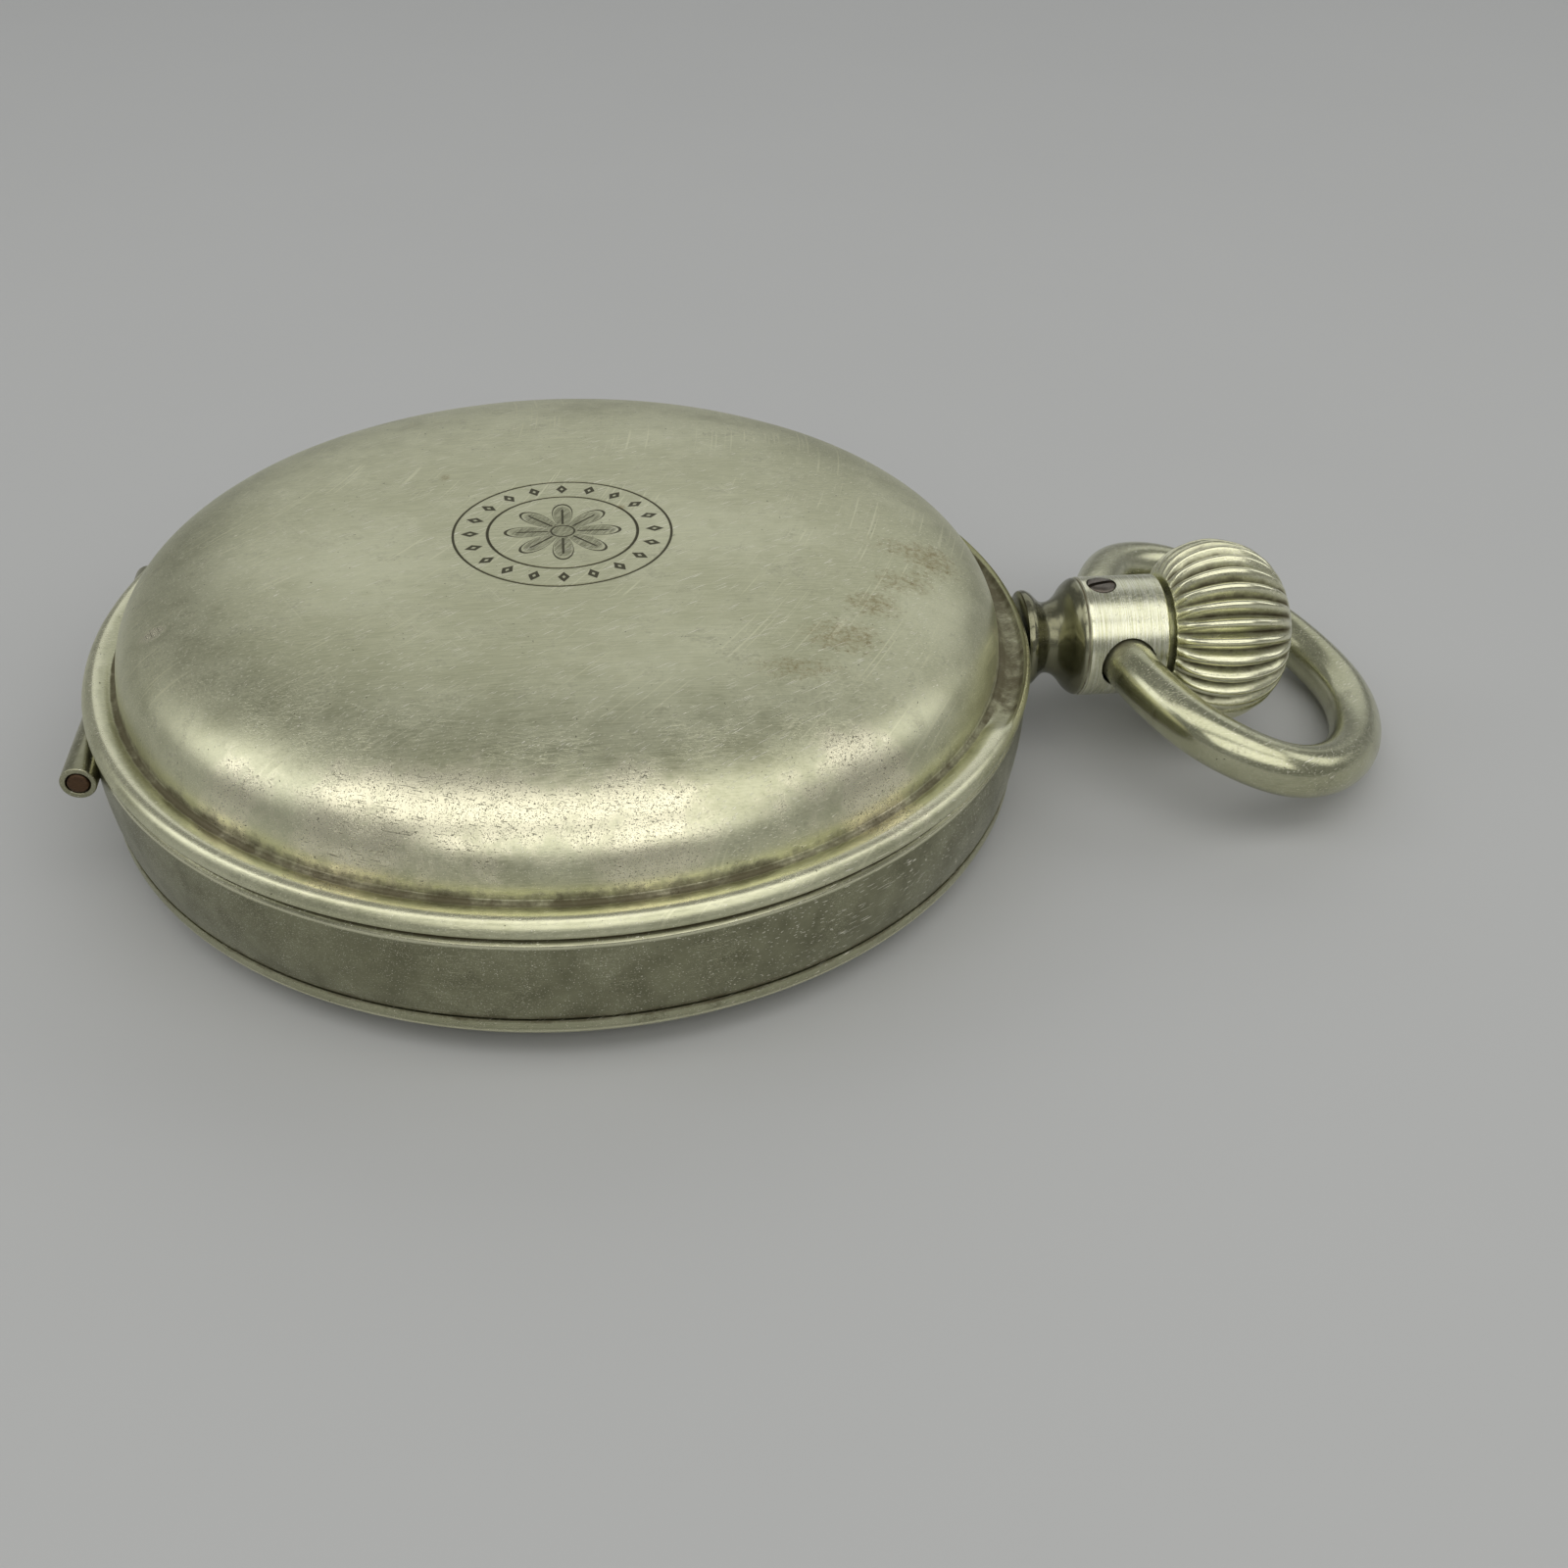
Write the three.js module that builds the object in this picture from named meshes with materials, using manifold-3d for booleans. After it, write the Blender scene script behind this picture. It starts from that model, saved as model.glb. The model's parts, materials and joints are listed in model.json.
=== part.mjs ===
// Open-face pocket watch with a hinged, domed back, built as a three.js scene.
// Millimetres, +Z up. The watch lies on its crystal with the dial down: the origin is the middle of
// the crystal's flat, +X runs along the winding stem to the crown, and the hinge is on the -X side.
import * as THREE from "three";
import { mergeVertices } from "three/addons/utils/BufferGeometryUtils.js";
import Module from "manifold-3d";

const wasm = await Module();
wasm.setup();

// ---------------------------------------------------------------- driving dimensions
const GAP_Z = 7.4; // parting line between the back cover and the band
const SEAM_Z = 2.4; // parting line between the band and the bezel
const RIM_R = 25.6; // outside of the back cover's bead
const DOME_R = 23.8; // foot of the dome
const DOME_FOOT_Z = GAP_Z - 0.54;
const DOME_RISE = 7.26;
const DOME_POWER = 3.67; // superellipse power: rounded shoulder, nearly flat crown
const COVER_WALL = 0.6;
const BAND_BORE = 22.3; // the movement passes through this
const MOVEMENT_R = 21.9;
const STEM_Z = 6.2; // axis of the stem, pendant and crown
const PENDANT_R = 3.42;
const PENDANT_END_X = 33.7;
const CROWN_RIBS = 30;
const BOW_PIVOT_X = 31.4;
const BOW_TILT = THREE.MathUtils.degToRad(17.3); // the bow hangs until it meets the table
const BOW_WIRE_R = 1.48;
const HINGE = { x: -24.5, z: GAP_Z - 1.0, r: 0.9, pin: 0.55, half: 10.3, knuckle: 3.4 };
const INNER_HINGE = { x: -22.2, z: 7.4, r: 0.45, pin: 0.22, half: 4.6, knuckle: 1.6 };

// Movement levels, counted up from the dial.
const DIAL_Z = [2.5, 2.95];
const PLATE_Z = [3.9, 5.1];
const BRIDGE_Z = [7.4, 8.1];
const COCK_Z = [7.85, 8.5];
const WINDING_WHEEL_Z = [8.2, 8.5];

// Going train: tooth counts, module, and where each arbor stands.
const TRAIN = {
  barrel: { teeth: 64, module: 0.25 },
  centre: { teeth: 64, pinion: 8, module: 0.1875 },
  third: { teeth: 60, pinion: 8, module: 0.1625 },
  fourth: { teeth: 60, pinion: 8, module: 0.16 },
  escape: { teeth: 15, pinion: 6, radius: 2.45 },
};
const meshDistance = (a, b, module) => ((a + b) * module) / 2;
const polar = (angleDeg, length, from = [0, 0]) => {
  const a = THREE.MathUtils.degToRad(angleDeg);
  return [from[0] + length * Math.cos(a), from[1] + length * Math.sin(a)];
};
const FOURTH_X = -9.5; // the seconds hand stands opposite the pendant
const CENTRE_AT = [0, 0];
const BARREL_ANGLE = 32;
const BARREL_CENTRE = meshDistance(TRAIN.barrel.teeth, TRAIN.centre.pinion, TRAIN.barrel.module);
const BARREL_AT = polar(BARREL_ANGLE, BARREL_CENTRE);
const CENTRE_THIRD = meshDistance(TRAIN.centre.teeth, TRAIN.third.pinion, TRAIN.centre.module);
const THIRD_FOURTH = meshDistance(TRAIN.third.teeth, TRAIN.fourth.pinion, TRAIN.third.module);
const THIRD_X = -(CENTRE_THIRD ** 2 - THIRD_FOURTH ** 2 + FOURTH_X ** 2) / (2 * -FOURTH_X);
const THIRD_AT = [THIRD_X, Math.sqrt(CENTRE_THIRD ** 2 - THIRD_X ** 2)];
const FOURTH_AT = [FOURTH_X, 0];
const FOURTH_ESCAPE = meshDistance(TRAIN.fourth.teeth, TRAIN.escape.pinion, TRAIN.fourth.module);
const ESCAPE_ANGLE = -75;
const ESCAPE_AT = polar(ESCAPE_ANGLE, FOURTH_ESCAPE, FOURTH_AT);
const BALANCE_AT = [-1.6, -10.6];
const BALANCE_R = 7.0;
const LEVER_ANGLE = angleBetween(ESCAPE_AT, BALANCE_AT);
const PALLET_AT = polar(LEVER_ANGLE, 3.3, ESCAPE_AT);

// Keyless work: ratchet wheel on the barrel arbor, crown wheel over the stem.
const RATCHET = { teeth: 40, module: 0.23 };
const CROWN_WHEEL = { teeth: 30, module: 0.23 };
const WINDING_PINION = { teeth: 15, module: 0.23 };
const RATCHET_CROWN = meshDistance(RATCHET.teeth, CROWN_WHEEL.teeth, RATCHET.module);
const CROWN_WHEEL_AT = [BARREL_AT[0] + Math.sqrt(RATCHET_CROWN ** 2 - BARREL_AT[1] ** 2), 0];

// Motion work under the dial: twelve to one in two steps.
const MOTION = { cannon: 10, minute: 30, minutePinion: 8, hour: 32, module: 0.15, distance: 3.6 };
const MINUTE_WHEEL_ANGLE = -60;
const MINUTE_WHEEL_AT = polar(MINUTE_WHEEL_ANGLE, MOTION.distance);

function angleBetween(from, to) {
  return THREE.MathUtils.radToDeg(Math.atan2(to[1] - from[1], to[0] - from[0]));
}

// ---------------------------------------------------------------- solids and booleans
function solid(geometry) {
  const bare = new THREE.BufferGeometry();
  bare.setAttribute("position", geometry.getAttribute("position").clone());
  if (geometry.index) bare.setIndex(geometry.index.clone());
  const merged = mergeVertices(bare, 1e-4);
  const positions = merged.attributes.position.array;
  let triVerts = Uint32Array.from(merged.index.array);
  const make = () => new wasm.Manifold(new wasm.Mesh({ numProp: 3, vertProperties: positions, triVerts }));
  let made = make();
  if (made.volume() < 0) {
    const corners = merged.index.array;
    triVerts = triVerts.map((_, i) => corners[i - (i % 3) + 2 - (i % 3)]);
    made = make();
  }
  return made;
}

function geometryOf(manifold) {
  const mesh = manifold.getMesh();
  const geometry = new THREE.BufferGeometry();
  geometry.setAttribute("position", new THREE.BufferAttribute(new Float32Array(mesh.vertProperties), 3));
  geometry.setIndex(new THREE.BufferAttribute(new Uint32Array(mesh.triVerts), 1));
  geometry.computeVertexNormals();
  return geometry;
}

// A closed [r, z] profile turned about Z. A profile that touches the axis starts and ends on it.
function turned(profile, segments = 36) {
  const points = profile.map(([r, z]) => new THREE.Vector2(r, z));
  const onAxis = profile[0][0] === 0 && profile[profile.length - 1][0] === 0;
  if (!onAxis) points.push(points[0].clone());
  return solid(new THREE.LatheGeometry(points, segments).rotateX(Math.PI / 2));
}

// The same, turned about the stem's axis: the profile is [r, x].
function turnedOnStem(profile, segments = 24) {
  const onZ = turned(profile, segments);
  return onZ.rotate([0, 90, 0]).translate([0, 0, STEM_Z]);
}

const disc = (r, z0, z1, at = CENTRE_AT, segments = 16) =>
  turned([[0, z0], [r, z0], [r, z1], [0, z1]], segments).translate([at[0], at[1], 0]);

const ring = (rIn, rOut, z0, z1, at = CENTRE_AT, segments = 24) =>
  turned([[rIn, z0], [rOut, z0], [rOut, z1], [rIn, z1]], segments).translate([at[0], at[1], 0]);

const rod = (r, x0, x1, segments = 18) => turnedOnStem([[0, x0], [r, x0], [r, x1], [0, x1]], segments);

// A round bar along Y, used for the hinges.
function barY(r, y0, y1, x, z, segments = 16) {
  const bar = new THREE.CylinderGeometry(r, r, y1 - y0, segments);
  return solid(bar.translate(x, (y0 + y1) / 2, z));
}

function block(x0, x1, y0, y1, z0, z1) {
  const box = new THREE.BoxGeometry(x1 - x0, y1 - y0, z1 - z0);
  return solid(box.translate((x0 + x1) / 2, (y0 + y1) / 2, (z0 + z1) / 2));
}

function extruded(points, z0, z1, holes = []) {
  const shape = new THREE.Shape(points.map(([x, y]) => new THREE.Vector2(x, y)));
  for (const hole of holes) {
    shape.holes.push(new THREE.Path(hole.map(([x, y]) => new THREE.Vector2(x, y))));
  }
  const geometry = new THREE.ExtrudeGeometry(shape, { depth: z1 - z0, bevelEnabled: false });
  return solid(geometry.translate(0, 0, z0));
}

const circlePoints = (r, n, at = [0, 0], turn = 0) =>
  Array.from({ length: n }, (_, i) => polar(turn + (360 * i) / n, r, at));

const joined = (first, ...rest) => rest.reduce((sum, next) => sum.add(next), first);
const cut = (body, ...tools) => tools.reduce((left, tool) => left.subtract(tool), body);

// ---------------------------------------------------------------- gears
// Teeth are short points with a deep root, so that meshing wheels keep backlash at every angle.
const ADDENDUM = 0.35;
const DEDENDUM = 0.65;

function toothed(teeth, module, phaseDeg = 0) {
  const pitchR = (teeth * module) / 2;
  const points = [];
  for (let i = 0; i < teeth; i += 1) {
    const at = phaseDeg + (360 * i) / teeth;
    points.push(polar(at - 180 / teeth, pitchR - DEDENDUM * module));
    points.push(polar(at, pitchR + ADDENDUM * module));
  }
  return points;
}

// Fan-shaped windows that leave `spokes` arms between hub and rim.
function windows(spokes, hubR, rimR, armDeg = 14) {
  return Array.from({ length: spokes }, (_, k) => {
    const from = (360 * k) / spokes + armDeg;
    const to = (360 * (k + 1)) / spokes - armDeg;
    const steps = 5;
    const bearing = (i) => from + ((to - from) * i) / steps;
    const outer = Array.from({ length: steps + 1 }, (_, i) => polar(bearing(i), rimR));
    const middle = (from + to) / 2;
    return [...outer, polar(middle + 18, hubR), polar(middle - 18, hubR)];
  });
}

// Phase that puts a tooth gap of the driven gear opposite a tooth of the driver along their centre line.
function phaseInMesh(driverTeeth, driverPhase, towardsDeg, drivenTeeth) {
  const pitch = 360 / driverTeeth;
  const offset = (((towardsDeg - driverPhase) % pitch) + pitch) % pitch;
  const share = offset / pitch;
  return towardsDeg + 180 + (360 / drivenTeeth) * (0.5 + share);
}

function wheel({ teeth, module, phase = 0, z, spokes = 0, hubR = 1, at, thickness = 0.16 }) {
  const rimR = (teeth * module) / 2 - 2.2 * module - 0.35;
  const holes = spokes ? windows(spokes, hubR, rimR) : [];
  return extruded(toothed(teeth, module, phase), z, z + thickness, holes).translate([at[0], at[1], 0]);
}

const pinion = (teeth, module, phase, z0, z1, at) =>
  extruded(toothed(teeth, module, phase), z0, z1).translate([at[0], at[1], 0]);

const PHASE = { centre: 0 };
PHASE.barrel = phaseInMesh(TRAIN.centre.pinion, PHASE.centre, BARREL_ANGLE, TRAIN.barrel.teeth);
const TO_THIRD = angleBetween(CENTRE_AT, THIRD_AT);
PHASE.third = phaseInMesh(TRAIN.centre.teeth, PHASE.centre, TO_THIRD, TRAIN.third.pinion);
const TO_FOURTH = angleBetween(THIRD_AT, FOURTH_AT);
PHASE.fourth = phaseInMesh(TRAIN.third.teeth, PHASE.third, TO_FOURTH, TRAIN.fourth.pinion);
PHASE.escape = phaseInMesh(TRAIN.fourth.teeth, PHASE.fourth, ESCAPE_ANGLE, TRAIN.escape.pinion);
const TO_CROWN_WHEEL = angleBetween(BARREL_AT, CROWN_WHEEL_AT);
PHASE.crownWheel = phaseInMesh(RATCHET.teeth, 0, TO_CROWN_WHEEL, CROWN_WHEEL.teeth);
PHASE.minute = phaseInMesh(MOTION.cannon, 0, MINUTE_WHEEL_ANGLE, MOTION.minute);
PHASE.hour = phaseInMesh(MOTION.minutePinion, PHASE.minute, MINUTE_WHEEL_ANGLE + 180, MOTION.hour);

// ---------------------------------------------------------------- case
const domeZ = (r, footR, footZ, rise, power) => footZ + rise * (1 - (r / footR) ** power) ** (1 / power);
const COVER_STATIONS = [23.7, 23.2, 22.2, 20.2, 16.5, 10];
const COVER_INNER_STATIONS = [23.1, 22.6, 21.4, 18.5, 12];
const THUMB_RECESS = { rIn: 24.15, rOut: 25.3, z: GAP_Z + 0.62, reach: 11.5, x: 24.7 };
const FAR = 30; // cutting blocks run past the case

function hingeBarrel(hinge, y0, y1) {
  return barY(hinge.r, y0, y1, hinge.x, hinge.z);
}

const pinBore = (hinge) => barY(hinge.pin + 0.05, -20, 20, hinge.x, hinge.z);

function backCover() {
  const outer = COVER_STATIONS.map((r) => [r, domeZ(r, DOME_R, DOME_FOOT_Z, DOME_RISE, DOME_POWER)]);
  const inside = (r) => domeZ(r, DOME_R - COVER_WALL, DOME_FOOT_Z, DOME_RISE - COVER_WALL, DOME_POWER);
  const inner = COVER_INNER_STATIONS.map((r) => [r, inside(r)]);
  const underRim = GAP_Z + 0.1;
  const shell = turned([
    [0, DOME_FOOT_Z + DOME_RISE], ...outer.slice().reverse(),
    [23.85, GAP_Z + 0.95], [24.25, GAP_Z + 0.9], [24.75, GAP_Z + 1.15],
    [25.3, GAP_Z + 0.95], [RIM_R, GAP_Z + 0.5], [25.35, underRim],
    [23.9, underRim], [23.85, GAP_Z - 0.4], [23.45, GAP_Z - 0.4], [23.3, underRim + 0.4],
    ...inner, [0, DOME_FOOT_Z + DOME_RISE - COVER_WALL],
  ]);
  const { rIn, rOut, z, reach, x } = THUMB_RECESS;
  const thumbRecess = ring(rIn, rOut, z, z + 1.4, CENTRE_AT, 36).intersect(
    disc(reach, z - 1, z + 2, [x, 0], 20),
  );
  const open = cut(
    shell,
    block(-FAR, -20.5, -11.6, 11.6, 0, underRim),
    thumbRecess,
  );
  const k = HINGE.knuckle;
  const web = block(HINGE.x - 0.6, HINGE.x + 0.75, -k, k, HINGE.z, GAP_Z + 0.3);
  const knuckle = joined(hingeBarrel(HINGE, -k, k), web);
  return cut(joined(open, knuckle), pinBore(HINGE));
}

// The band's knuckles stand on both sides of the cover's, at the hinge's two ends.
function sideKnuckles(hinge, gap, shape) {
  return [-1, 1].map((side) => {
    const ends = [gap, hinge.half].map((y) => side * y).sort((a, b) => a - b);
    return shape(ends[0], ends[1]);
  });
}

function caseBand() {
  const ledge = GAP_Z - 0.75;
  const gap = HINGE.knuckle + 0.1;
  const tube = turned([
    [25.3, GAP_Z], [25.45, GAP_Z - 0.6], [25.45, 5.2], [25.25, 3.6], [25.0, SEAM_Z + 0.05],
    [23.95, SEAM_Z + 0.05], [23.95, 3.3], [BAND_BORE, 3.3], [BAND_BORE, ledge],
    [24.0, ledge], [24.0, GAP_Z],
  ]);
  const open = cut(
    tube,
    block(-FAR, HINGE.x + 0.3, -HINGE.half - 0.1, HINGE.half + 0.1, GAP_Z - 0.25, 20),
    block(-FAR, HINGE.x + 0.9, -gap, gap, HINGE.z - 0.8, 20),
    barY(HINGE.r + 0.12, -gap, gap, HINGE.x, HINGE.z),
    rod(2.1, 20, 24.8),
    rod(1.3, 20, 30),
  );
  const sides = sideKnuckles(HINGE, gap, (y0, y1) => hingeBarrel(HINGE, y0, y1));
  const innerSides = sideKnuckles(INNER_HINGE, INNER_HINGE.knuckle + 0.08, (y0, y1) => {
    const foot = block(INNER_HINGE.x - 0.75, INNER_HINGE.x + 0.1, y0, y1, ledge - 0.2, INNER_HINGE.z);
    return joined(hingeBarrel(INNER_HINGE, y0, y1), foot);
  });
  return cut(joined(open, ...sides, ...innerSides), pinBore(HINGE), pinBore(INNER_HINGE));
}

const INNER_COVER = { footR: 22.0, foot: GAP_Z - 0.1, rise: 3.9, wall: 0.45, power: 3, lipR: 23.2 };
const INNER_COVER_STATIONS = [21.8, 21.3, 20.0, 16.5, 10];
const INNER_COVER_INSIDE = [21.35, 20.8, 19.3, 15, 8.5];

function innerCover() {
  const { footR, foot, rise, wall, power, lipR } = INNER_COVER;
  const outer = INNER_COVER_STATIONS.map((r) => [r, domeZ(r, footR, foot, rise, power)]);
  const inner = INNER_COVER_INSIDE.map((r) => [r, domeZ(r, footR - wall, foot, rise - wall, power)]);
  const shell = turned([
    [0, foot + rise], ...outer.slice().reverse(), [footR, foot], [lipR, foot], [lipR, foot - wall],
    [footR - wall, foot - wall], ...inner, [0, foot + rise - wall],
  ]);
  const room = INNER_HINGE.half + 0.3;
  const open = cut(
    shell,
    block(-FAR, INNER_HINGE.x + 0.45, -room, room, 0, foot + 0.6),
    barY(INNER_HINGE.r + 0.1, -room, room, INNER_HINGE.x, INNER_HINGE.z),
  );
  const k = INNER_HINGE.knuckle;
  const web = block(INNER_HINGE.x, INNER_HINGE.x + 1.05, -k, k, INNER_HINGE.z - 0.05, INNER_HINGE.z + 0.7);
  return cut(joined(open, hingeBarrel(INNER_HINGE, -k, k), web), pinBore(INNER_HINGE));
}

function bezel() {
  const top = SEAM_Z - 0.05;
  return turned([
    [25.05, top], [25.1, 1.8], [24.7, 1.15], [23.6, 0.65], [22.1, 0.45], [21.35, 0.6],
    [21.75, 1.02], [21.75, top], [23.1, top], [23.1, 3.1], [23.7, 3.1], [23.7, top],
  ].reverse());
}

const crystal = () =>
  turned([
    [0, 0], [13.5, 0], [18, 0.3], [21.2, 0.93], [21.6, 1.15],
    [21.6, 1.75], [21.2, 1.8], [15, 1.1], [0, 1.0],
  ]);

// ---------------------------------------------------------------- pendant, crown and bow
const PENDANT_SCREW_AT = [30.2, 0];

function pendant() {
  const body = turnedOnStem([
    [1.25, 25.7], [2.72, 25.7], [2.78, 26.0], [2.5, 26.5], [2.05, 27.0], [2.12, 27.6],
    [2.55, 28.1], [3.15, 28.6], [PENDANT_R, 29.1], [PENDANT_R, PENDANT_END_X - 0.1],
    [3.32, PENDANT_END_X], [2.55, PENDANT_END_X], [2.55, 31.0], [1.25, 31.0],
  ]);
  const screwHole = disc(0.9, STEM_Z + 2.9, STEM_Z + 5, PENDANT_SCREW_AT);
  const screwShank = disc(0.55, STEM_Z, STEM_Z + 5, PENDANT_SCREW_AT, 16);
  const bowHole = barY(BOW_WIRE_R + 0.12, -6, 6, BOW_PIVOT_X, STEM_Z, 24);
  return cut(body, screwHole, screwShank, bowHole);
}

function pendantScrew() {
  const head = disc(0.82, STEM_Z + 2.98, STEM_Z + 3.5, PENDANT_SCREW_AT);
  const shank = disc(0.48, STEM_Z + 1.35, STEM_Z + 3.0, PENDANT_SCREW_AT, 16);
  return cut(joined(head, shank), block(29, 31.4, -0.13, 0.13, STEM_Z + 3.3, STEM_Z + 4));
}

const stemSleeve = () => turnedOnStem([[0.7, 25.8], [1.15, 25.8], [1.15, 30.8], [0.7, 30.8]], 16);

const CROWN_PROFILE = [
  [3.5, 33.95], [4.2, 34.35], [5.05, 35.5], [5.37, 37.0], [5.0, 38.8], [3.9, 40.3], [2.2, 41.3],
];
const CROWN_TIP_X = 41.6;
const CROWN_GROOVE = 0.36; // depth of the grooves at the crown's waist

// One ring of crown points: ribs and grooves in turn, the grooves shallower towards both ends.
function crownRow([r, x], row) {
  const depth = Math.min(CROWN_GROOVE, 0.12 + 0.1 * Math.min(row, CROWN_PROFILE.length - 1 - row));
  return Array.from({ length: CROWN_RIBS * 2 }, (_, i) => {
    const a = (Math.PI * i) / CROWN_RIBS;
    const ribR = i % 2 ? r - depth : r;
    return new THREE.Vector3(x, ribR * Math.cos(a), STEM_Z + ribR * Math.sin(a));
  });
}

// A closed skin over rings of n points, with a point in the middle of each end.
function skinned(rows, firstEnd, lastEnd) {
  const n = rows[0].length;
  const points = [...rows.flat(), firstEnd, lastEnd];
  const faces = [];
  for (let i = 0; i < n; i += 1) {
    const j = (i + 1) % n;
    faces.push(points.length - 2, j, i);
    for (let row = 0; row + 1 < rows.length; row += 1) {
      faces.push(row * n + i, row * n + j, (row + 1) * n + i);
      faces.push(row * n + j, (row + 1) * n + j, (row + 1) * n + i);
    }
    faces.push(points.length - 1, (rows.length - 1) * n + i, (rows.length - 1) * n + j);
  }
  const geometry = new THREE.BufferGeometry().setFromPoints(points);
  geometry.setIndex(faces);
  return solid(geometry);
}

function crown() {
  const firstEnd = new THREE.Vector3(CROWN_PROFILE[0][1], 0, STEM_Z);
  const lastEnd = new THREE.Vector3(CROWN_TIP_X, 0, STEM_Z);
  const ribbed = skinned(CROWN_PROFILE.map(crownRow), firstEnd, lastEnd);
  const sleeve = rod(2.35, 31.2, 34.2);
  const stemBore = rod(0.62, 30, 36.5);
  return cut(joined(ribbed, sleeve), stemBore);
}

// The movement's own arbor has a square hole; the crown's shank turns it and slides in it.
const squareBar = (half, x0, x1) => block(x0, x1, -half, half, STEM_Z - half, STEM_Z + half);
const ARBOR_END_X = 21.3;
const windingArbor = () => {
  const body = joined(rod(0.6, 15.0, ARBOR_END_X, 16), rod(0.85, 18.2, ARBOR_END_X, 16));
  return cut(body, squareBar(0.42, 18.6, FAR));
};
const crownStem = () => joined(squareBar(0.36, 18.9, 22.2), rod(0.55, 22.0, 36.3, 14));

// The bow's centre line in its own plane, [along the pendant, sideways]: a superellipse whose two ends
// turn into the sides of the pendant.
const BOW = { offset: 7.0, along: 8.64, across: 11.17, power: 1.76 };
const BOW_ENDS = [[0, 2.65], [0, 3.6], [0.2, 4.6], [0.95, 6.3]];
const signedPower = (value, power) => Math.sign(value) * Math.abs(value) ** power;

function bowHalf() {
  const sweep = [126, 112, 98, 84, 70, 56, 42, 28, 14, 0].map((deg) => {
    const a = THREE.MathUtils.degToRad(deg);
    const u = BOW.offset + BOW.along * signedPower(Math.cos(a), 2 / BOW.power);
    return [u, BOW.across * signedPower(Math.sin(a), 2 / BOW.power)];
  });
  return [...BOW_ENDS, ...sweep];
}

function bow() {
  const half = bowHalf();
  const mirrored = half.slice(0, -1).reverse().map(([u, v]) => [u, -v]);
  const along = Math.cos(BOW_TILT);
  const down = Math.sin(BOW_TILT);
  const points = [...half, ...mirrored].map(
    ([u, v]) => new THREE.Vector3(BOW_PIVOT_X + u * along, v, STEM_Z - u * down),
  );
  const section = new THREE.Shape(circlePoints(BOW_WIRE_R, 10).map(([x, y]) => new THREE.Vector2(x, y)));
  const path = new THREE.CatmullRomCurve3(points);
  const sweep = { steps: 36, bevelEnabled: false, extrudePath: path };
  return solid(new THREE.ExtrudeGeometry(section, sweep));
}

// ---------------------------------------------------------------- dial and hands
const DIAL_R = 21.5;
const DIAL_FEET = [polar(165, 19.6), polar(-30, 19.6)];

function dial() {
  const plate = extruded(circlePoints(DIAL_R, 48), DIAL_Z[0], DIAL_Z[1], [
    circlePoints(1.0, 20).reverse(),
    circlePoints(0.45, 14, FOURTH_AT).reverse(),
  ]);
  return joined(plate, ...DIAL_FEET.map((at) => disc(0.45, DIAL_Z[1] - 0.1, PLATE_Z[0] + 0.7, at, 14)));
}

// A hand points along +X (towards the pendant) and is then turned to its reading.
function hand(outline, z0, z1, hubR, boreR, at, turnDeg) {
  const blade = joined(extruded(outline, z0, z1), disc(hubR, z0, z1, CENTRE_AT, 20));
  const bored = cut(blade, disc(boreR, z0 - 1, z1 + 1, CENTRE_AT, 16));
  return bored.rotate([0, 0, turnDeg]).translate([at[0], at[1], 0]);
}

// Half of each hand's outline, from the hub out to the tip.
const HOUR_HALF = [[-1, -0.35], [5.5, -0.3], [6.6, -1.05], [8.2, -1.0], [11.8, 0]];
const MINUTE_HALF = [[-1, -0.3], [10.5, -0.25], [12, -0.8], [13.6, -0.7], [17.6, 0]];
const bothSides = (half) => [...half, ...half.slice(0, -1).reverse().map(([x, y]) => [x, -y])];

// The hands read ten past ten and twenty-five seconds.
const SECONDS = 25;
const MINUTES = 10 + SECONDS / 60;
const HOURS = 10 + MINUTES / 60;
const SECONDS_OUTLINE = [[-1.6, -0.18], [4.2, -0.05], [4.2, 0.05], [-1.6, 0.18]];

// ---------------------------------------------------------------- movement: plates and bridges
const BRIDGE_SCREWS = {
  barrel_bridge_screw_a: [12.2, 15.2],
  barrel_bridge_screw_b: [18.6, -4.7],
  barrel_bridge_screw_c: [-1.6, 18.6],
  train_bridge_screw_a: [-9.6, 15.2],
  train_bridge_screw_b: [-18.6, -3.0],
  balance_cock_screw: [1.4, -18.9],
  case_screw_a: [14.0, -15.4],
  case_screw_b: [-17.2, 11.2],
};
const ABOVE = 12; // drills and cutters run from the dial side to above the movement
const SCREW_HOLE_R = 0.55;
const screwHoles = (names) => names.map((name) => disc(SCREW_HOLE_R, 0, ABOVE, BRIDGE_SCREWS[name], 10));

function mainPlate() {
  const plate = disc(MOVEMENT_R, PLATE_Z[0], PLATE_Z[1], CENTRE_AT, 48);
  const arborsAt = [THIRD_AT, FOURTH_AT, ESCAPE_AT, PALLET_AT, BALANCE_AT];
  const arbors = arborsAt.map((at) => disc(0.32, 0, ABOVE, at, 8));
  return cut(
    plate,
    disc(8.7, PLATE_Z[0] + 0.3, ABOVE, BARREL_AT, 28),
    disc(0.6, 0, ABOVE, BARREL_AT, 14),
    disc(1.3, 0, ABOVE, CENTRE_AT, 20),
    ...arbors,
    block(14.9, FAR, -2.15, 2.15, STEM_Z - 2.0, ABOVE),
    ...DIAL_FEET.map((at) => disc(0.52, 0, ABOVE, at, 10)),
    disc(0.4, 0, ABOVE, MINUTE_WHEEL_AT, 12),
    ...screwHoles(Object.keys(BRIDGE_SCREWS)),
  );
}

// An edge of the movement between two bearings, as points on its rim.
const rimArc = (fromDeg, toDeg, r, steps = 14) =>
  Array.from({ length: steps + 1 }, (_, i) => polar(fromDeg + ((toDeg - fromDeg) * i) / steps, r));

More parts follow.
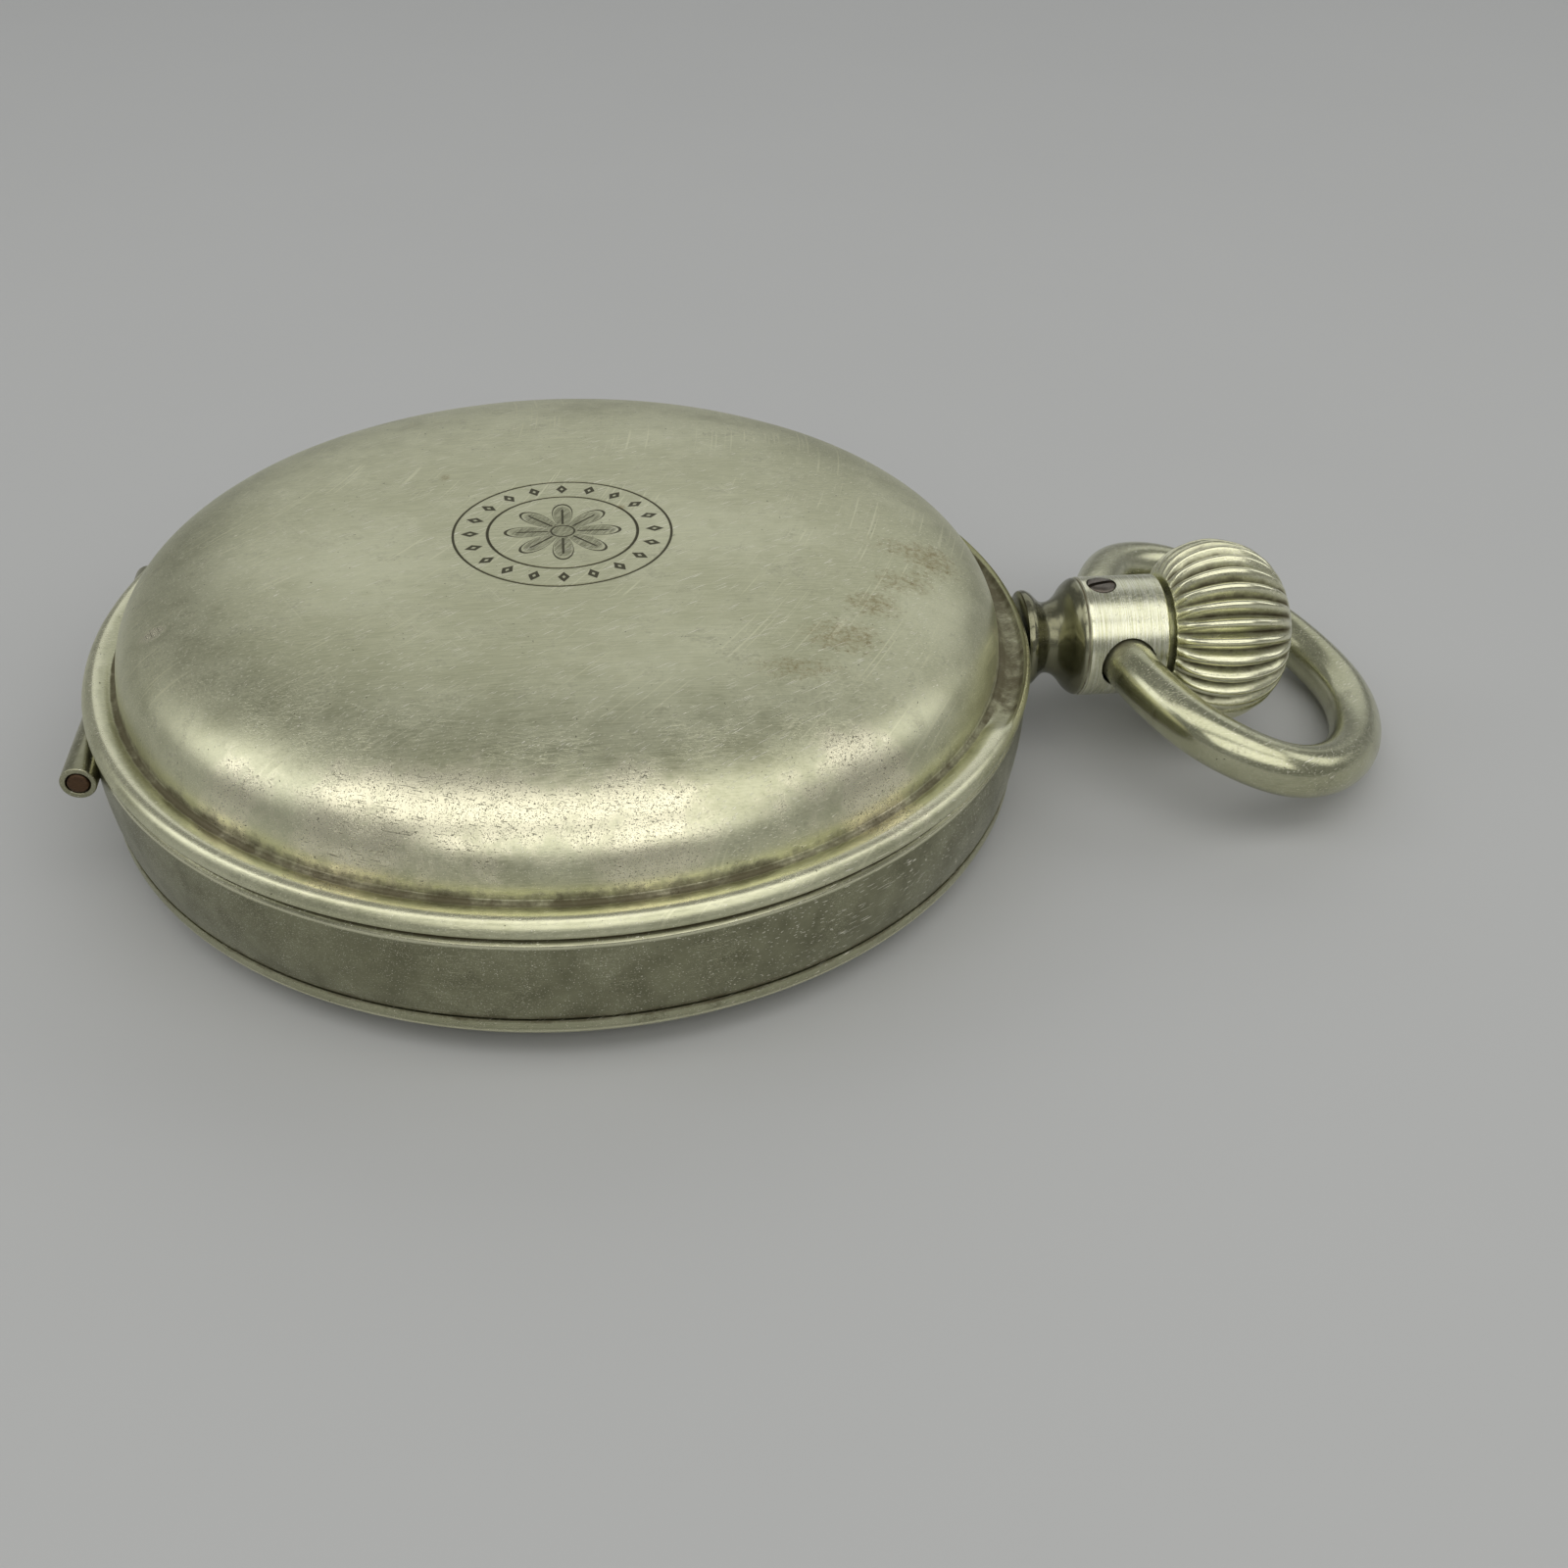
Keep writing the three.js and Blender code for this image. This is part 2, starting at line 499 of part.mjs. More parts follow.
const FOOT_Z = [PLATE_Z[1] + 0.02, BRIDGE_Z[0] + 0.1];

function bridge(outline, feet, holes) {
  const deck = extruded(outline, BRIDGE_Z[0], BRIDGE_Z[1]);
  const legs = feet.map(([at, r]) => disc(r, FOOT_Z[0], FOOT_Z[1], at, 16));
  return cut(joined(deck, ...legs), ...holes);
}

const BRIDGE_RIM = 20.8;
const COCK_RIM = 20.0;

function barrelBridge() {
  const outline = [
    ...rimArc(-22, 108, BRIDGE_RIM, 20), [-3.2, 9.5], [-1.2, 4.2], [3.4, 0.6], [7.6, -1.2], [12.6, -5.2],
  ];
  const names = ["barrel_bridge_screw_a", "barrel_bridge_screw_b", "barrel_bridge_screw_c"];
  return bridge(outline, names.map((name) => [BRIDGE_SCREWS[name], 1.5]), [
    disc(1.1, 0, ABOVE, BARREL_AT, 20),
    disc(0.6, 0, ABOVE, CROWN_WHEEL_AT, 16),
    block(16.2, 18.0, -2.15, 2.15, 0, ABOVE),
    ...screwHoles(names),
    disc(0.5, 0, ABOVE, CLICK_AT, 12),
  ]);
}

function trainBridge() {
  const outline = [
    ...rimArc(112, 196, BRIDGE_RIM, 14), [-11.6, -7.9], [-8.6, -7.6], [-7.0, -5.4],
    [-5.4, -3.9], [-1.2, -2.3], [1.9, -1.6], [1.6, 0.8], [-2.6, 3.4], [-4.6, 9.2],
  ];
  const names = ["train_bridge_screw_a", "train_bridge_screw_b"];
  return bridge(outline, names.map((name) => [BRIDGE_SCREWS[name], 1.5]), [
    ...[CENTRE_AT, THIRD_AT, FOURTH_AT, ESCAPE_AT].map((at) => disc(0.9, 0, ABOVE, at, 18)),
    ...screwHoles(names),
  ]);
}

function balanceCock() {
  const foot = [...rimArc(-98, -74, COCK_RIM, 6), [4.8, -17.8]];
  const arm = [
    [4.0, -16.5], [1.0, -12.2], [0.6, -9.8], [-0.6, -8.8],
    [-2.4, -8.7], [-3.6, -9.8], [-3.7, -11.8], [-3.2, -17.6],
  ];
  const deck = extruded([...foot, ...arm], COCK_Z[0], COCK_Z[1]);
  const legOutline = [...rimArc(-96, -76, COCK_RIM, 6), [3.4, -18.1], [-1.9, -18.1]];
  const leg = extruded(legOutline, FOOT_Z[0], COCK_Z[0] + 0.1);
  return cut(joined(deck, leg), disc(0.9, 0, ABOVE, BALANCE_AT, 18), ...screwHoles(["balance_cock_screw"]));
}

function palletBridge() {
  const across = LEVER_ANGLE + 90;
  const ends = [polar(across, 2.3, PALLET_AT), polar(across + 180, 2.3, PALLET_AT)];
  const middle = turnedBar(ends[0], ends[1], 1.1, 6.3, 6.55);
  const legs = ends.map((at) => disc(0.5, FOOT_Z[0], 6.35, at, 12));
  return cut(joined(middle, ...legs), disc(0.22, 0, 9, PALLET_AT, 12));
}

// A flat bar from one point to another.
function turnedBar(from, to, width, z0, z1) {
  const length = Math.hypot(to[0] - from[0], to[1] - from[1]) + width;
  const bar = block(-width / 2, length - width / 2, -width / 2, width / 2, z0, z1);
  return bar.rotate([0, 0, angleBetween(from, to)]).translate([from[0], from[1], 0]);
}

const jewel = (at, bore = 0.24) => ring(bore, 0.82, BRIDGE_Z[0] + 0.15, BRIDGE_Z[1] - 0.05, at, 12);

function slottedScrew(at, top, headR = 0.95, shank = 0.48) {
  const head = disc(headR, top, top + 0.32, at, 14);
  const stem = disc(shank, PLATE_Z[0] + 0.3, top + 0.05, at, 8);
  const slot = block(at[0] - 2, at[0] + 2, at[1] - 0.1, at[1] + 0.1, top + 0.16, top + 1);
  return cut(joined(head, stem), slot);
}

// ---------------------------------------------------------------- movement: train and escapement
const BARREL_DRUM = { r: 7.6, z0: 4.35, z1: 6.05, wall: 0.35, bore: 0.75 };

function barrelDrum() {
  const { r, z0, z1, wall, bore } = BARREL_DRUM;
  const inside = [[r - wall, z1], [r - wall, z0 + wall], [bore, z0 + wall]];
  const cup = turned([[bore, z0], [r, z0], [r, z1], ...inside], 32);
  const teeth = toothed(TRAIN.barrel.teeth, TRAIN.barrel.module, PHASE.barrel);
  const rim = extruded(teeth, 5.3, 5.6, [circlePoints(r - wall / 2, 32).reverse()]);
  return joined(cup, rim).translate([BARREL_AT[0], BARREL_AT[1], 0]);
}

const barrelLid = () => ring(1.1, BARREL_DRUM.r - BARREL_DRUM.wall - 0.05, 5.8, 6.0, BARREL_AT, 32);

function barrelArbor() {
  // Radius, foot and head of each step, from the plate up to the ratchet wheel.
  const steps = [[0.5, PLATE_Z[0] + 0.05, 4.4], [0.65, 4.35, 4.8], [1.0, 4.75, 5.7], [0.9, 5.65, 8.5]];
  return joined(...steps.map(([r, z0, z1]) => disc(r, z0, z1, BARREL_AT, 18)));
}

// A flat strip wound outwards in turns: its first and last radius, half its thickness, and its heights.
function spiral({ turns, steps, r0, r1, half, z, startDeg = 0 }, at) {
  const edge = (offset) =>
    Array.from({ length: steps + 1 }, (_, i) => {
      const share = i / steps;
      return polar(360 * turns * share + startDeg, r0 + (r1 - r0) * share + offset);
    });
  return extruded([...edge(half), ...edge(-half).reverse()], z[0], z[1]).translate([at[0], at[1], 0]);
}

const mainspring = () =>
  spiral({ turns: 5, steps: 60, r0: 1.35, r1: 6.85, half: 0.11, z: [4.85, 5.7] }, BARREL_AT);

function trainWheel(spec, phase, at, wheelZ, pinionZ, arborZ) {
  const { teeth, module } = spec;
  const body = wheel({ teeth, module, phase, z: wheelZ, spokes: 4, hubR: 1.15, at });
  const leaves = pinion(spec.pinion, spec.leafModule, phase, pinionZ[0], pinionZ[1], at);
  return joined(body, leaves, disc(0.2, arborZ[0], arborZ[1], at, 10));
}

const centreWheel = () =>
  joined(
    wheel({ ...TRAIN.centre, phase: PHASE.centre, z: 6.4, spokes: 4, hubR: 1.3, at: CENTRE_AT }),
    pinion(TRAIN.centre.pinion, TRAIN.barrel.module, PHASE.centre, 5.15, 6.45, CENTRE_AT),
    disc(0.32, 1.62, 7.9, CENTRE_AT, 14),
  );

const thirdWheel = () => {
  const spec = { ...TRAIN.third, leafModule: TRAIN.centre.module };
  return trainWheel(spec, PHASE.third, THIRD_AT, 5.78, [5.85, 6.95], [4.2, 7.9]);
};
const fourthWheel = () => {
  const spec = { ...TRAIN.fourth, leafModule: TRAIN.third.module };
  return trainWheel(spec, PHASE.fourth, FOURTH_AT, 5.3, [5.4, 6.2], [2.1, 7.9]);
};

function escapeWheel() {
  const { teeth, radius, pinion: leaves } = TRAIN.escape;
  const outline = [];
  for (let i = 0; i < teeth; i += 1) {
    const at = PHASE.escape + (360 * i) / teeth;
    const root = radius - 0.62;
    outline.push(polar(at, root), polar(at + 6.5, radius - 0.12));
    outline.push(polar(at + 9.5, radius), polar(at + 6, root));
  }
  const rim = extruded(outline, 5.95, 6.1, windows(4, 0.8, radius - 0.95));
  return joined(
    rim.translate([ESCAPE_AT[0], ESCAPE_AT[1], 0]),
    pinion(leaves, TRAIN.fourth.module, PHASE.escape, 5.15, 6.0, ESCAPE_AT),
    disc(0.17, 4.2, 7.9, ESCAPE_AT, 10),
  );
}

// The pallet fork: two pallets hugging the escape wheel, and a forked lever towards the balance.
function palletFork() {
  const half = [
    [-0.5, 0], [-0.6, 0.5], [-1.0, 1.3], [-1.75, 2.25], [-1.3, 2.6], [-0.6, 1.45], [-0.2, 0.55], [0.5, 0.35],
    [2.55, 0.22], [3.0, 0.55], [3.25, 0.5], [3.1, 0.2], [2.95, 0],
  ];
  const mirrored = half.slice(1, -1).reverse().map(([x, y]) => [x, -y]);
  const flat = joined(extruded([...half, ...mirrored], 5.85, 6.1), disc(0.35, 5.6, 6.2, CENTRE_AT, 10));
  const lever = joined(flat, disc(0.15, 4.2, 6.5, CENTRE_AT, 8));
  return lever.rotate([0, 0, LEVER_ANGLE]).translate([PALLET_AT[0], PALLET_AT[1], 0]);
}

// A bimetallic balance: rim, one cross arm, timing screws and the staff with its roller.
function balanceWheel() {
  const rim = ring(BALANCE_R - 0.65, BALANCE_R - 0.15, 6.8, 7.35, CENTRE_AT, 30);
  const arm = block(-(BALANCE_R - 0.4), BALANCE_R - 0.4, -0.45, 0.45, 6.95, 7.15);
  const screws = Array.from({ length: 10 }, (_, i) => {
    const stud = new THREE.CylinderGeometry(0.2, 0.2, 0.75, 6).rotateZ(Math.PI / 2);
    return solid(stud.translate(BALANCE_R - 0.2, 0, 7.08)).rotate([0, 0, 18 + i * 36]);
  });
  const staff = disc(0.16, 4.2, 8.3, CENTRE_AT, 8);
  const hub = disc(0.5, 6.4, 7.4, CENTRE_AT, 12);
  const roller = disc(1.2, 6.25, 6.45, CENTRE_AT, 16);
  const impulse = disc(0.14, 6.15, 6.3, polar(180, 0.8), 8);
  const whole = joined(rim, arm, ...screws, staff, hub, roller, impulse);
  return whole.rotate([0, 0, LEVER_ANGLE]).translate([BALANCE_AT[0], BALANCE_AT[1], 0]);
}

const hairspring = () =>
  spiral({ turns: 6, steps: 66, r0: 0.85, r1: 4.45, half: 0.06, z: [7.55, 7.75], startDeg: 40 }, BALANCE_AT);

function regulator() {
  const z = COCK_Z[1] + 0.03;
  const collar = ring(0.95, 1.75, z, z + 0.19, BALANCE_AT, 16);
  const from = [BALANCE_AT[0] + 1.2, BALANCE_AT[1] - 0.9];
  const to = [BALANCE_AT[0] + 2.3, BALANCE_AT[1] - 5.0];
  const index = turnedBar(from, to, 0.35, z, z + 0.17);
  return cut(joined(collar, index), disc(0.95, 0, ABOVE, BALANCE_AT, 16));
}

// ---------------------------------------------------------------- keyless work
function windingWheel({ teeth, module }, phase, boreR, at) {
  const outline = toothed(teeth, module, phase);
  const disk = extruded(outline, WINDING_WHEEL_Z[0], WINDING_WHEEL_Z[1]);
  return cut(disk, disc(boreR, 0, ABOVE, CENTRE_AT, 18)).translate([at[0], at[1], 0]);
}
const ratchetWheel = () => windingWheel(RATCHET, 0, 0.95, BARREL_AT);
const crownWheel = () => windingWheel(CROWN_WHEEL, PHASE.crownWheel, 1.05, CROWN_WHEEL_AT);

// The slot of a screw head, across it along X, from z up.
const slotOver = (at, half, z) => block(at[0] - 3, at[0] + 3, at[1] - half, at[1] + half, z, ABOVE);

const ratchetScrew = () => {
  const top = WINDING_WHEEL_Z[1];
  return cut(disc(1.6, top + 0.03, top + 0.38, BARREL_AT, 24), slotOver(BARREL_AT, 0.12, top + 0.2));
};

function crownWheelCore() {
  const top = WINDING_WHEEL_Z[1];
  const post = joined(
    disc(0.97, BRIDGE_Z[1] + 0.03, top + 0.1, CROWN_WHEEL_AT, 18),
    disc(1.5, top + 0.05, top + 0.35, CROWN_WHEEL_AT, 24),
    disc(0.5, BRIDGE_Z[0] + 0.05, BRIDGE_Z[1] + 0.1, CROWN_WHEEL_AT, 14),
  );
  return cut(post, slotOver(CROWN_WHEEL_AT, 0.12, top + 0.2));
}

// A pinion on the stem: teeth outline extruded along X, with a clear bore for the stem.
function stemPinion(teeth, module, x0, x1) {
  const bore = disc(0.72, x0 - 1, x1 + 1, CENTRE_AT, 16);
  const body = cut(extruded(toothed(teeth, module, 0), x0, x1), bore);
  return body.rotate([0, 90, 0]).translate([0, 0, STEM_Z]);
}
const windingPinion = () => stemPinion(WINDING_PINION.teeth, WINDING_PINION.module, 16.6, 17.6);
const CLUTCH_PROFILE = [
  [0.72, 15.3], [1.1, 15.3], [1.1, 15.6], [0.9, 15.7], [0.9, 16.0], [1.1, 16.1], [1.1, 16.4], [0.72, 16.4],
];
const clutchPinion = () => turnedOnStem(CLUTCH_PROFILE, 16);

const CLICK_AT = polar(118, 6.6, BARREL_AT);

function click() {
  const tipAt = polar(96, RATCHET.teeth * RATCHET.module * 0.5 + 0.42, BARREL_AT);
  const body = joined(
    disc(0.95, WINDING_WHEEL_Z[0], WINDING_WHEEL_Z[1], CLICK_AT, 18),
    turnedBar(CLICK_AT, tipAt, 0.45, WINDING_WHEEL_Z[0], WINDING_WHEEL_Z[1]),
  );
  return cut(body, disc(0.42, 0, ABOVE, CLICK_AT, 12));
}

const clickScrew = () => {
  const top = WINDING_WHEEL_Z[1];
  const head = disc(0.7, top + 0.04, top + 0.3, CLICK_AT, 18);
  const shank = disc(0.34, BRIDGE_Z[0] + 0.2, top + 0.1, CLICK_AT, 12);
  return cut(joined(head, shank), slotOver(CLICK_AT, 0.1, top + 0.18));
};

// ---------------------------------------------------------------- motion work
const cannonPinion = () => {
  const leaves = pinion(MOTION.cannon, MOTION.module, 0, 3.42, 3.8, CENTRE_AT);
  const pipe = disc(0.55, 1.62, 3.5, CENTRE_AT, 16);
  return cut(joined(leaves, pipe), disc(0.38, 0, ABOVE, CENTRE_AT, 14));
};

const MOTION_LOW = (2 * MOTION.distance) / (MOTION.minutePinion + MOTION.hour);
const minuteWheel = () =>
  joined(
    pinion(MOTION.minute, MOTION.module, PHASE.minute, 3.5, 3.68, MINUTE_WHEEL_AT),
    pinion(MOTION.minutePinion, MOTION_LOW, PHASE.minute, 3.08, 3.55, MINUTE_WHEEL_AT),
    disc(0.3, 3.6, 4.6, MINUTE_WHEEL_AT, 12),
  );
const hourWheel = () => {
  const teeth = pinion(MOTION.hour, MOTION_LOW, PHASE.hour, 3.1, 3.3, CENTRE_AT);
  const pipe = disc(0.88, 1.98, 3.2, CENTRE_AT, 16);
  return cut(joined(teeth, pipe), disc(0.62, 0, ABOVE, CENTRE_AT, 16));
};

// ---------------------------------------------------------------- scene
const FINISH = {
  nickel_silver: { color: 0xb4b298, roughness: 0.35, metalness: 1 },
  nickel_movement: { color: 0xc9c8c2, roughness: 0.3, metalness: 1 },
  gilt: { color: 0xc9a45a, roughness: 0.32, metalness: 1 },
  steel: { color: 0x8f9196, roughness: 0.25, metalness: 1 },
  blued_steel: { color: 0x22305c, roughness: 0.25, metalness: 1 },
  aged_pin: { color: 0x5a4636, roughness: 0.5, metalness: 0.8 },
  enamel: { color: 0xf3f0e6, roughness: 0.2, metalness: 0 },
  crystal: { color: 0xf2f6f5, roughness: 0.05, metalness: 0, transparent: true, opacity: 0.3 },
  ruby: { color: 0x9c1534, roughness: 0.15, metalness: 0 },
};
const materials = Object.fromEntries(
  Object.entries(FINISH).map(([name, values]) => [name, new THREE.MeshStandardMaterial({ name, ...values })]),
);
const watch = new THREE.Group();
const hingePin = (hinge, half, segments) => barY(hinge.pin, -half, half, hinge.x, hinge.z, segments);

function add(name, finish, made) {
  const mesh = new THREE.Mesh(geometryOf(made), materials[finish]);
  mesh.name = name;
  watch.add(mesh);
}

add("back_cover", "nickel_silver", backCover());
add("case_band", "nickel_silver", caseBand());
add("bezel", "nickel_silver", bezel());
add("crystal", "crystal", crystal());
add("inner_cover", "nickel_silver", innerCover());
add("back_hinge_pin", "aged_pin", hingePin(HINGE, HINGE.half + 0.05, 16));
add("inner_hinge_pin", "aged_pin", hingePin(INNER_HINGE, INNER_HINGE.half, 12));
add("pendant", "nickel_silver", pendant());
add("pendant_screw", "aged_pin", pendantScrew());
add("stem_sleeve", "steel", stemSleeve());
add("winding_arbor", "steel", windingArbor());
add("crown_stem", "steel", crownStem());
add("crown", "nickel_silver", crown());
add("bow", "nickel_silver", bow());

add("dial", "enamel", dial());
const hourHand = hand(bothSides(HOUR_HALF), 2.0, 2.14, 1.25, 0.92, CENTRE_AT, HOURS * 30);
const minuteHand = hand(bothSides(MINUTE_HALF), 1.64, 1.78, 0.95, 0.58, CENTRE_AT, MINUTES * 6);
const secondsHand = hand(SECONDS_OUTLINE, 2.2, 2.32, 0.5, 0.23, FOURTH_AT, SECONDS * 6);
add("hour_hand", "blued_steel", hourHand);
add("minute_hand", "blued_steel", minuteHand);
add("seconds_hand", "blued_steel", secondsHand);

add("main_plate", "nickel_movement", mainPlate());
add("barrel_bridge", "nickel_movement", barrelBridge());
add("train_bridge", "nickel_movement", trainBridge());
add("balance_cock", "nickel_movement", balanceCock());
add("pallet_bridge", "nickel_movement", palletBridge());
const JEWELS = { centre: CENTRE_AT, third: THIRD_AT, fourth: FOURTH_AT, escape: ESCAPE_AT };
for (const [name, at] of Object.entries(JEWELS)) {
  add(`${name}_jewel`, "ruby", jewel(at, name === "centre" ? 0.38 : 0.24));
}
add("balance_jewel", "ruby", ring(0.22, 0.82, COCK_Z[0] + 0.15, COCK_Z[1] - 0.05, BALANCE_AT, 16));
const topUnder = (name) => {
  if (name.startsWith("case")) return PLATE_Z[1];
  return name.startsWith("balance") ? COCK_Z[1] : BRIDGE_Z[1];
};
for (const [name, at] of Object.entries(BRIDGE_SCREWS)) {
  add(name, "steel", slottedScrew(at, topUnder(name) + 0.03));
}

add("barrel_drum", "gilt", barrelDrum());
add("barrel_lid", "gilt", barrelLid());
add("barrel_arbor", "steel", barrelArbor());
add("mainspring", "steel", mainspring());
add("centre_wheel", "gilt", centreWheel());
add("third_wheel", "gilt", thirdWheel());
add("fourth_wheel", "gilt", fourthWheel());
add("escape_wheel", "steel", escapeWheel());
add("pallet_fork", "steel", palletFork());
add("balance_wheel", "gilt", balanceWheel());
add("hairspring", "blued_steel", hairspring());
add("regulator", "steel", regulator());

add("ratchet_wheel", "steel", ratchetWheel());
add("ratchet_screw", "steel", ratchetScrew());
add("crown_wheel", "steel", crownWheel());
add("crown_wheel_core", "steel", crownWheelCore());
add("winding_pinion", "steel", windingPinion());
add("clutch_pinion", "steel", clutchPinion());
add("click", "steel", click());
add("click_screw", "steel", clickScrew());
add("cannon_pinion", "steel", cannonPinion());
add("minute_wheel", "gilt", minuteWheel());
add("hour_wheel", "gilt", hourWheel());

export default watch;
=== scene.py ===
# %% [markdown]
# # A pocket watch lying on its crystal
# An old nickel-silver pocket watch lies dial down, so its domed, hinged back is uppermost. The fixed
# frame gives every part its exact place. Here the case parts get finely modelled skins, and every part
# gets a worn, procedural finish. All sizes below are in millimetres until a mesh is made.

# %% Load the fixed frame
import json
import math

import bmesh
import bpy
import numpy as np

from mathutils import Matrix, Vector


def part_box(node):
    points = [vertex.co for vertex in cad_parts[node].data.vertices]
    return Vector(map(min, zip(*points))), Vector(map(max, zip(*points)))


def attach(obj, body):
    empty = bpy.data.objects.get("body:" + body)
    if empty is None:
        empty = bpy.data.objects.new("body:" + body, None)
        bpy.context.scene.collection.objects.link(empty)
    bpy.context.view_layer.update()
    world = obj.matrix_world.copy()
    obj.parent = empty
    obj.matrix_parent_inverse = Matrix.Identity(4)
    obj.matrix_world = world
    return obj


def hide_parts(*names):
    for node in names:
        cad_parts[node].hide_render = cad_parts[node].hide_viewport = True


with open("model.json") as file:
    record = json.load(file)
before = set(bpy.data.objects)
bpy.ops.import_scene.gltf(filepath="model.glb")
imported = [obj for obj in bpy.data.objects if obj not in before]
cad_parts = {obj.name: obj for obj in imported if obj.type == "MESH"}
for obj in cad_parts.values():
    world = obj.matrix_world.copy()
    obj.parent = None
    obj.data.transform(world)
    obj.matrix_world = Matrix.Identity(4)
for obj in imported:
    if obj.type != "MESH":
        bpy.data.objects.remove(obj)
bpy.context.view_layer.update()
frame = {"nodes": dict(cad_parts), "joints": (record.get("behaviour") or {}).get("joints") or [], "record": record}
MM = 0.001

# %% [markdown]
# Sizes that other pieces must fit are read from the frame, never guessed again: the rim's radius and
# the dome's top from the back cover's box, the stem's height from the crown's, and the hinge and bow
# pivots from their joints.

# %% Read the places of things
def box_mm(node):
    """The lowest and highest corner of a node, in millimetres."""
    return [np.array(corner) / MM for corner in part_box(node)]


JOINT_AT = {j["name"]: np.array(j["pos_m"]) / MM for j in frame["joints"] if "pos_m" in j}
RIM_R = box_mm("back_cover")[1][1]
DOME_TOP = box_mm("back_cover")[1][2]
STEM_Z = (box_mm("crown")[0][2] + box_mm("crown")[1][2]) / 2
PENDANT_END = box_mm("pendant")[1][0]
HINGE_X, _, HINGE_Z = JOINT_AT["back_cover_hinge"]
BOW_X = JOINT_AT["bow_swing"][0]
GAP_Z = 7.4
print("rim radius", RIM_R, "dome top", round(DOME_TOP, 2), "stem height", round(STEM_Z, 2))

# %% [markdown]
# ## Surfaces from arrays
# Case parts are turned on a lathe, so each skin is a profile swept round an axis: a grid of points
# with one row per profile point and one column per angle. Building the whole grid as one array is
# quick, and the same small set of functions then serves every piece.

# %% Turn a grid of points into a mesh
def grid_quads(rows, columns, wrap_rows, wrap_columns):
    """Four corner numbers for each cell of the grid; a wrapped direction joins its end to its start."""
    row = np.arange(rows if wrap_rows else rows - 1)
    column = np.arange(columns if wrap_columns else columns - 1)
    row, column = np.meshgrid(row, column, indexing="ij")
    next_row, next_column = (row + 1) % rows, (column + 1) % columns
    corners = [
        row * columns + column,
        row * columns + next_column,
        next_row * columns + next_column,
        next_row * columns + column,
    ]
    return np.stack(corners, -1).reshape(-1, 4)


def tidy_mesh(mesh, sharp_deg):
    """Joins points that share a place, turns faces outward, and keeps edges over sharp_deg crisp."""
    work = bmesh.new()
    work.from_mesh(mesh)
    bmesh.ops.remove_doubles(work, verts=work.verts, dist=1e-7)
    bmesh.ops.recalc_face_normals(work, faces=work.faces)
    work.to_mesh(mesh)
    work.free()
    mesh.polygons.foreach_set("use_smooth", np.ones(len(mesh.polygons), bool))
    mesh.set_sharp_from_angle(angle=math.radians(sharp_deg))
    mesh.update()


def mesh_piece(name, points, quads, marks=None, sharp_deg=38):
    """A piece from points in millimetres, its faces, and named values at each point."""
    mesh = bpy.data.meshes.new(name)
    mesh.vertices.add(len(points))
    mesh.vertices.foreach_set("co", (points * MM).astype(np.float32).ravel())
    mesh.loops.add(quads.size)
    mesh.loops.foreach_set("vertex_index", quads.astype(np.int32).ravel())
    mesh.polygons.add(len(quads))
    mesh.polygons.foreach_set("loop_start", np.arange(0, quads.size, quads.shape[1], dtype=np.int32))
    mesh.update(calc_edges=True)
    for mark, values in (marks or {}).items():
        layer = mesh.attributes.new(mark, "FLOAT", "POINT")
        layer.data.foreach_set("value", np.asarray(values, np.float32).ravel())
    tidy_mesh(mesh, sharp_deg)
    piece = bpy.data.objects.new(name, mesh)
    bpy.context.scene.collection.objects.link(piece)
    return piece


def surface(name, points, wrap_rows=False, wrap_columns=True, marks=None, sharp_deg=38):
    """A piece whose skin is a grid of points, [row, column, xyz]."""
    rows, columns, _ = points.shape
    quads = grid_quads(rows, columns, wrap_rows, wrap_columns)
    full = {k: np.broadcast_to(v, (rows, columns)) for k, v in (marks or {}).items()}
    piece = mesh_piece(name, points.reshape(-1, 3), quads, full, sharp_deg)
    print(name, len(piece.data.polygons), "faces")
    return piece


# %% [markdown]
# A profile starts as a few corner points. Hard corners get a small parabola, as a burnisher would
# leave them, and flowing parts pass through their points on a Catmull-Rom curve. Rows are then spaced
# evenly along the line, so shading stays smooth.

# %% Draw profiles
def rounded(corners, radius, steps=5, closed=True):
    """Each corner p becomes a*(1-t)^2 + 2*p*t*(1-t) + b*t^2, with a and b on the sides beside it."""
    p = np.array(corners, float)

    def towards(other):
        side = other - p
        length = np.linalg.norm(side, axis=1, keepdims=True)
        return p + side * np.minimum(radius / np.maximum(length, 1e-9), 0.45)

    a, b = towards(np.roll(p, 1, 0)), towards(np.roll(p, -1, 0))
    t = np.linspace(0, 1, steps)[None, :, None]
    line = (a[:, None] * (1 - t) ** 2 + 2 * p[:, None] * t * (1 - t) + b[:, None] * t**2).reshape(-1, 2)
    return line if closed else np.vstack([p[:1], line[steps:-steps], p[-1:]])


def flowing(points, per_span=6):
    """A Catmull-Rom curve through all the points: half of (2p + (q-o)t + (2o-5p+4q-r)t^2 + ...)."""
    p = np.array(points, float)
    p = np.vstack([2 * p[0] - p[1], p, 2 * p[-1] - p[-2]])
    t = np.linspace(0, 1, per_span, endpoint=False)[None, :, None]
    a, b, c, d = (p[i : len(p) - 3 + i, None] for i in range(4))
    square = (2 * a - 5 * b + 4 * c - d) * t**2
    cube = (3 * b - a - 3 * c + d) * t**3
    curve = 0.5 * (2 * b + (c - a) * t + square + cube)
    return np.vstack([curve.reshape(-1, p.shape[1]), p[-2]])


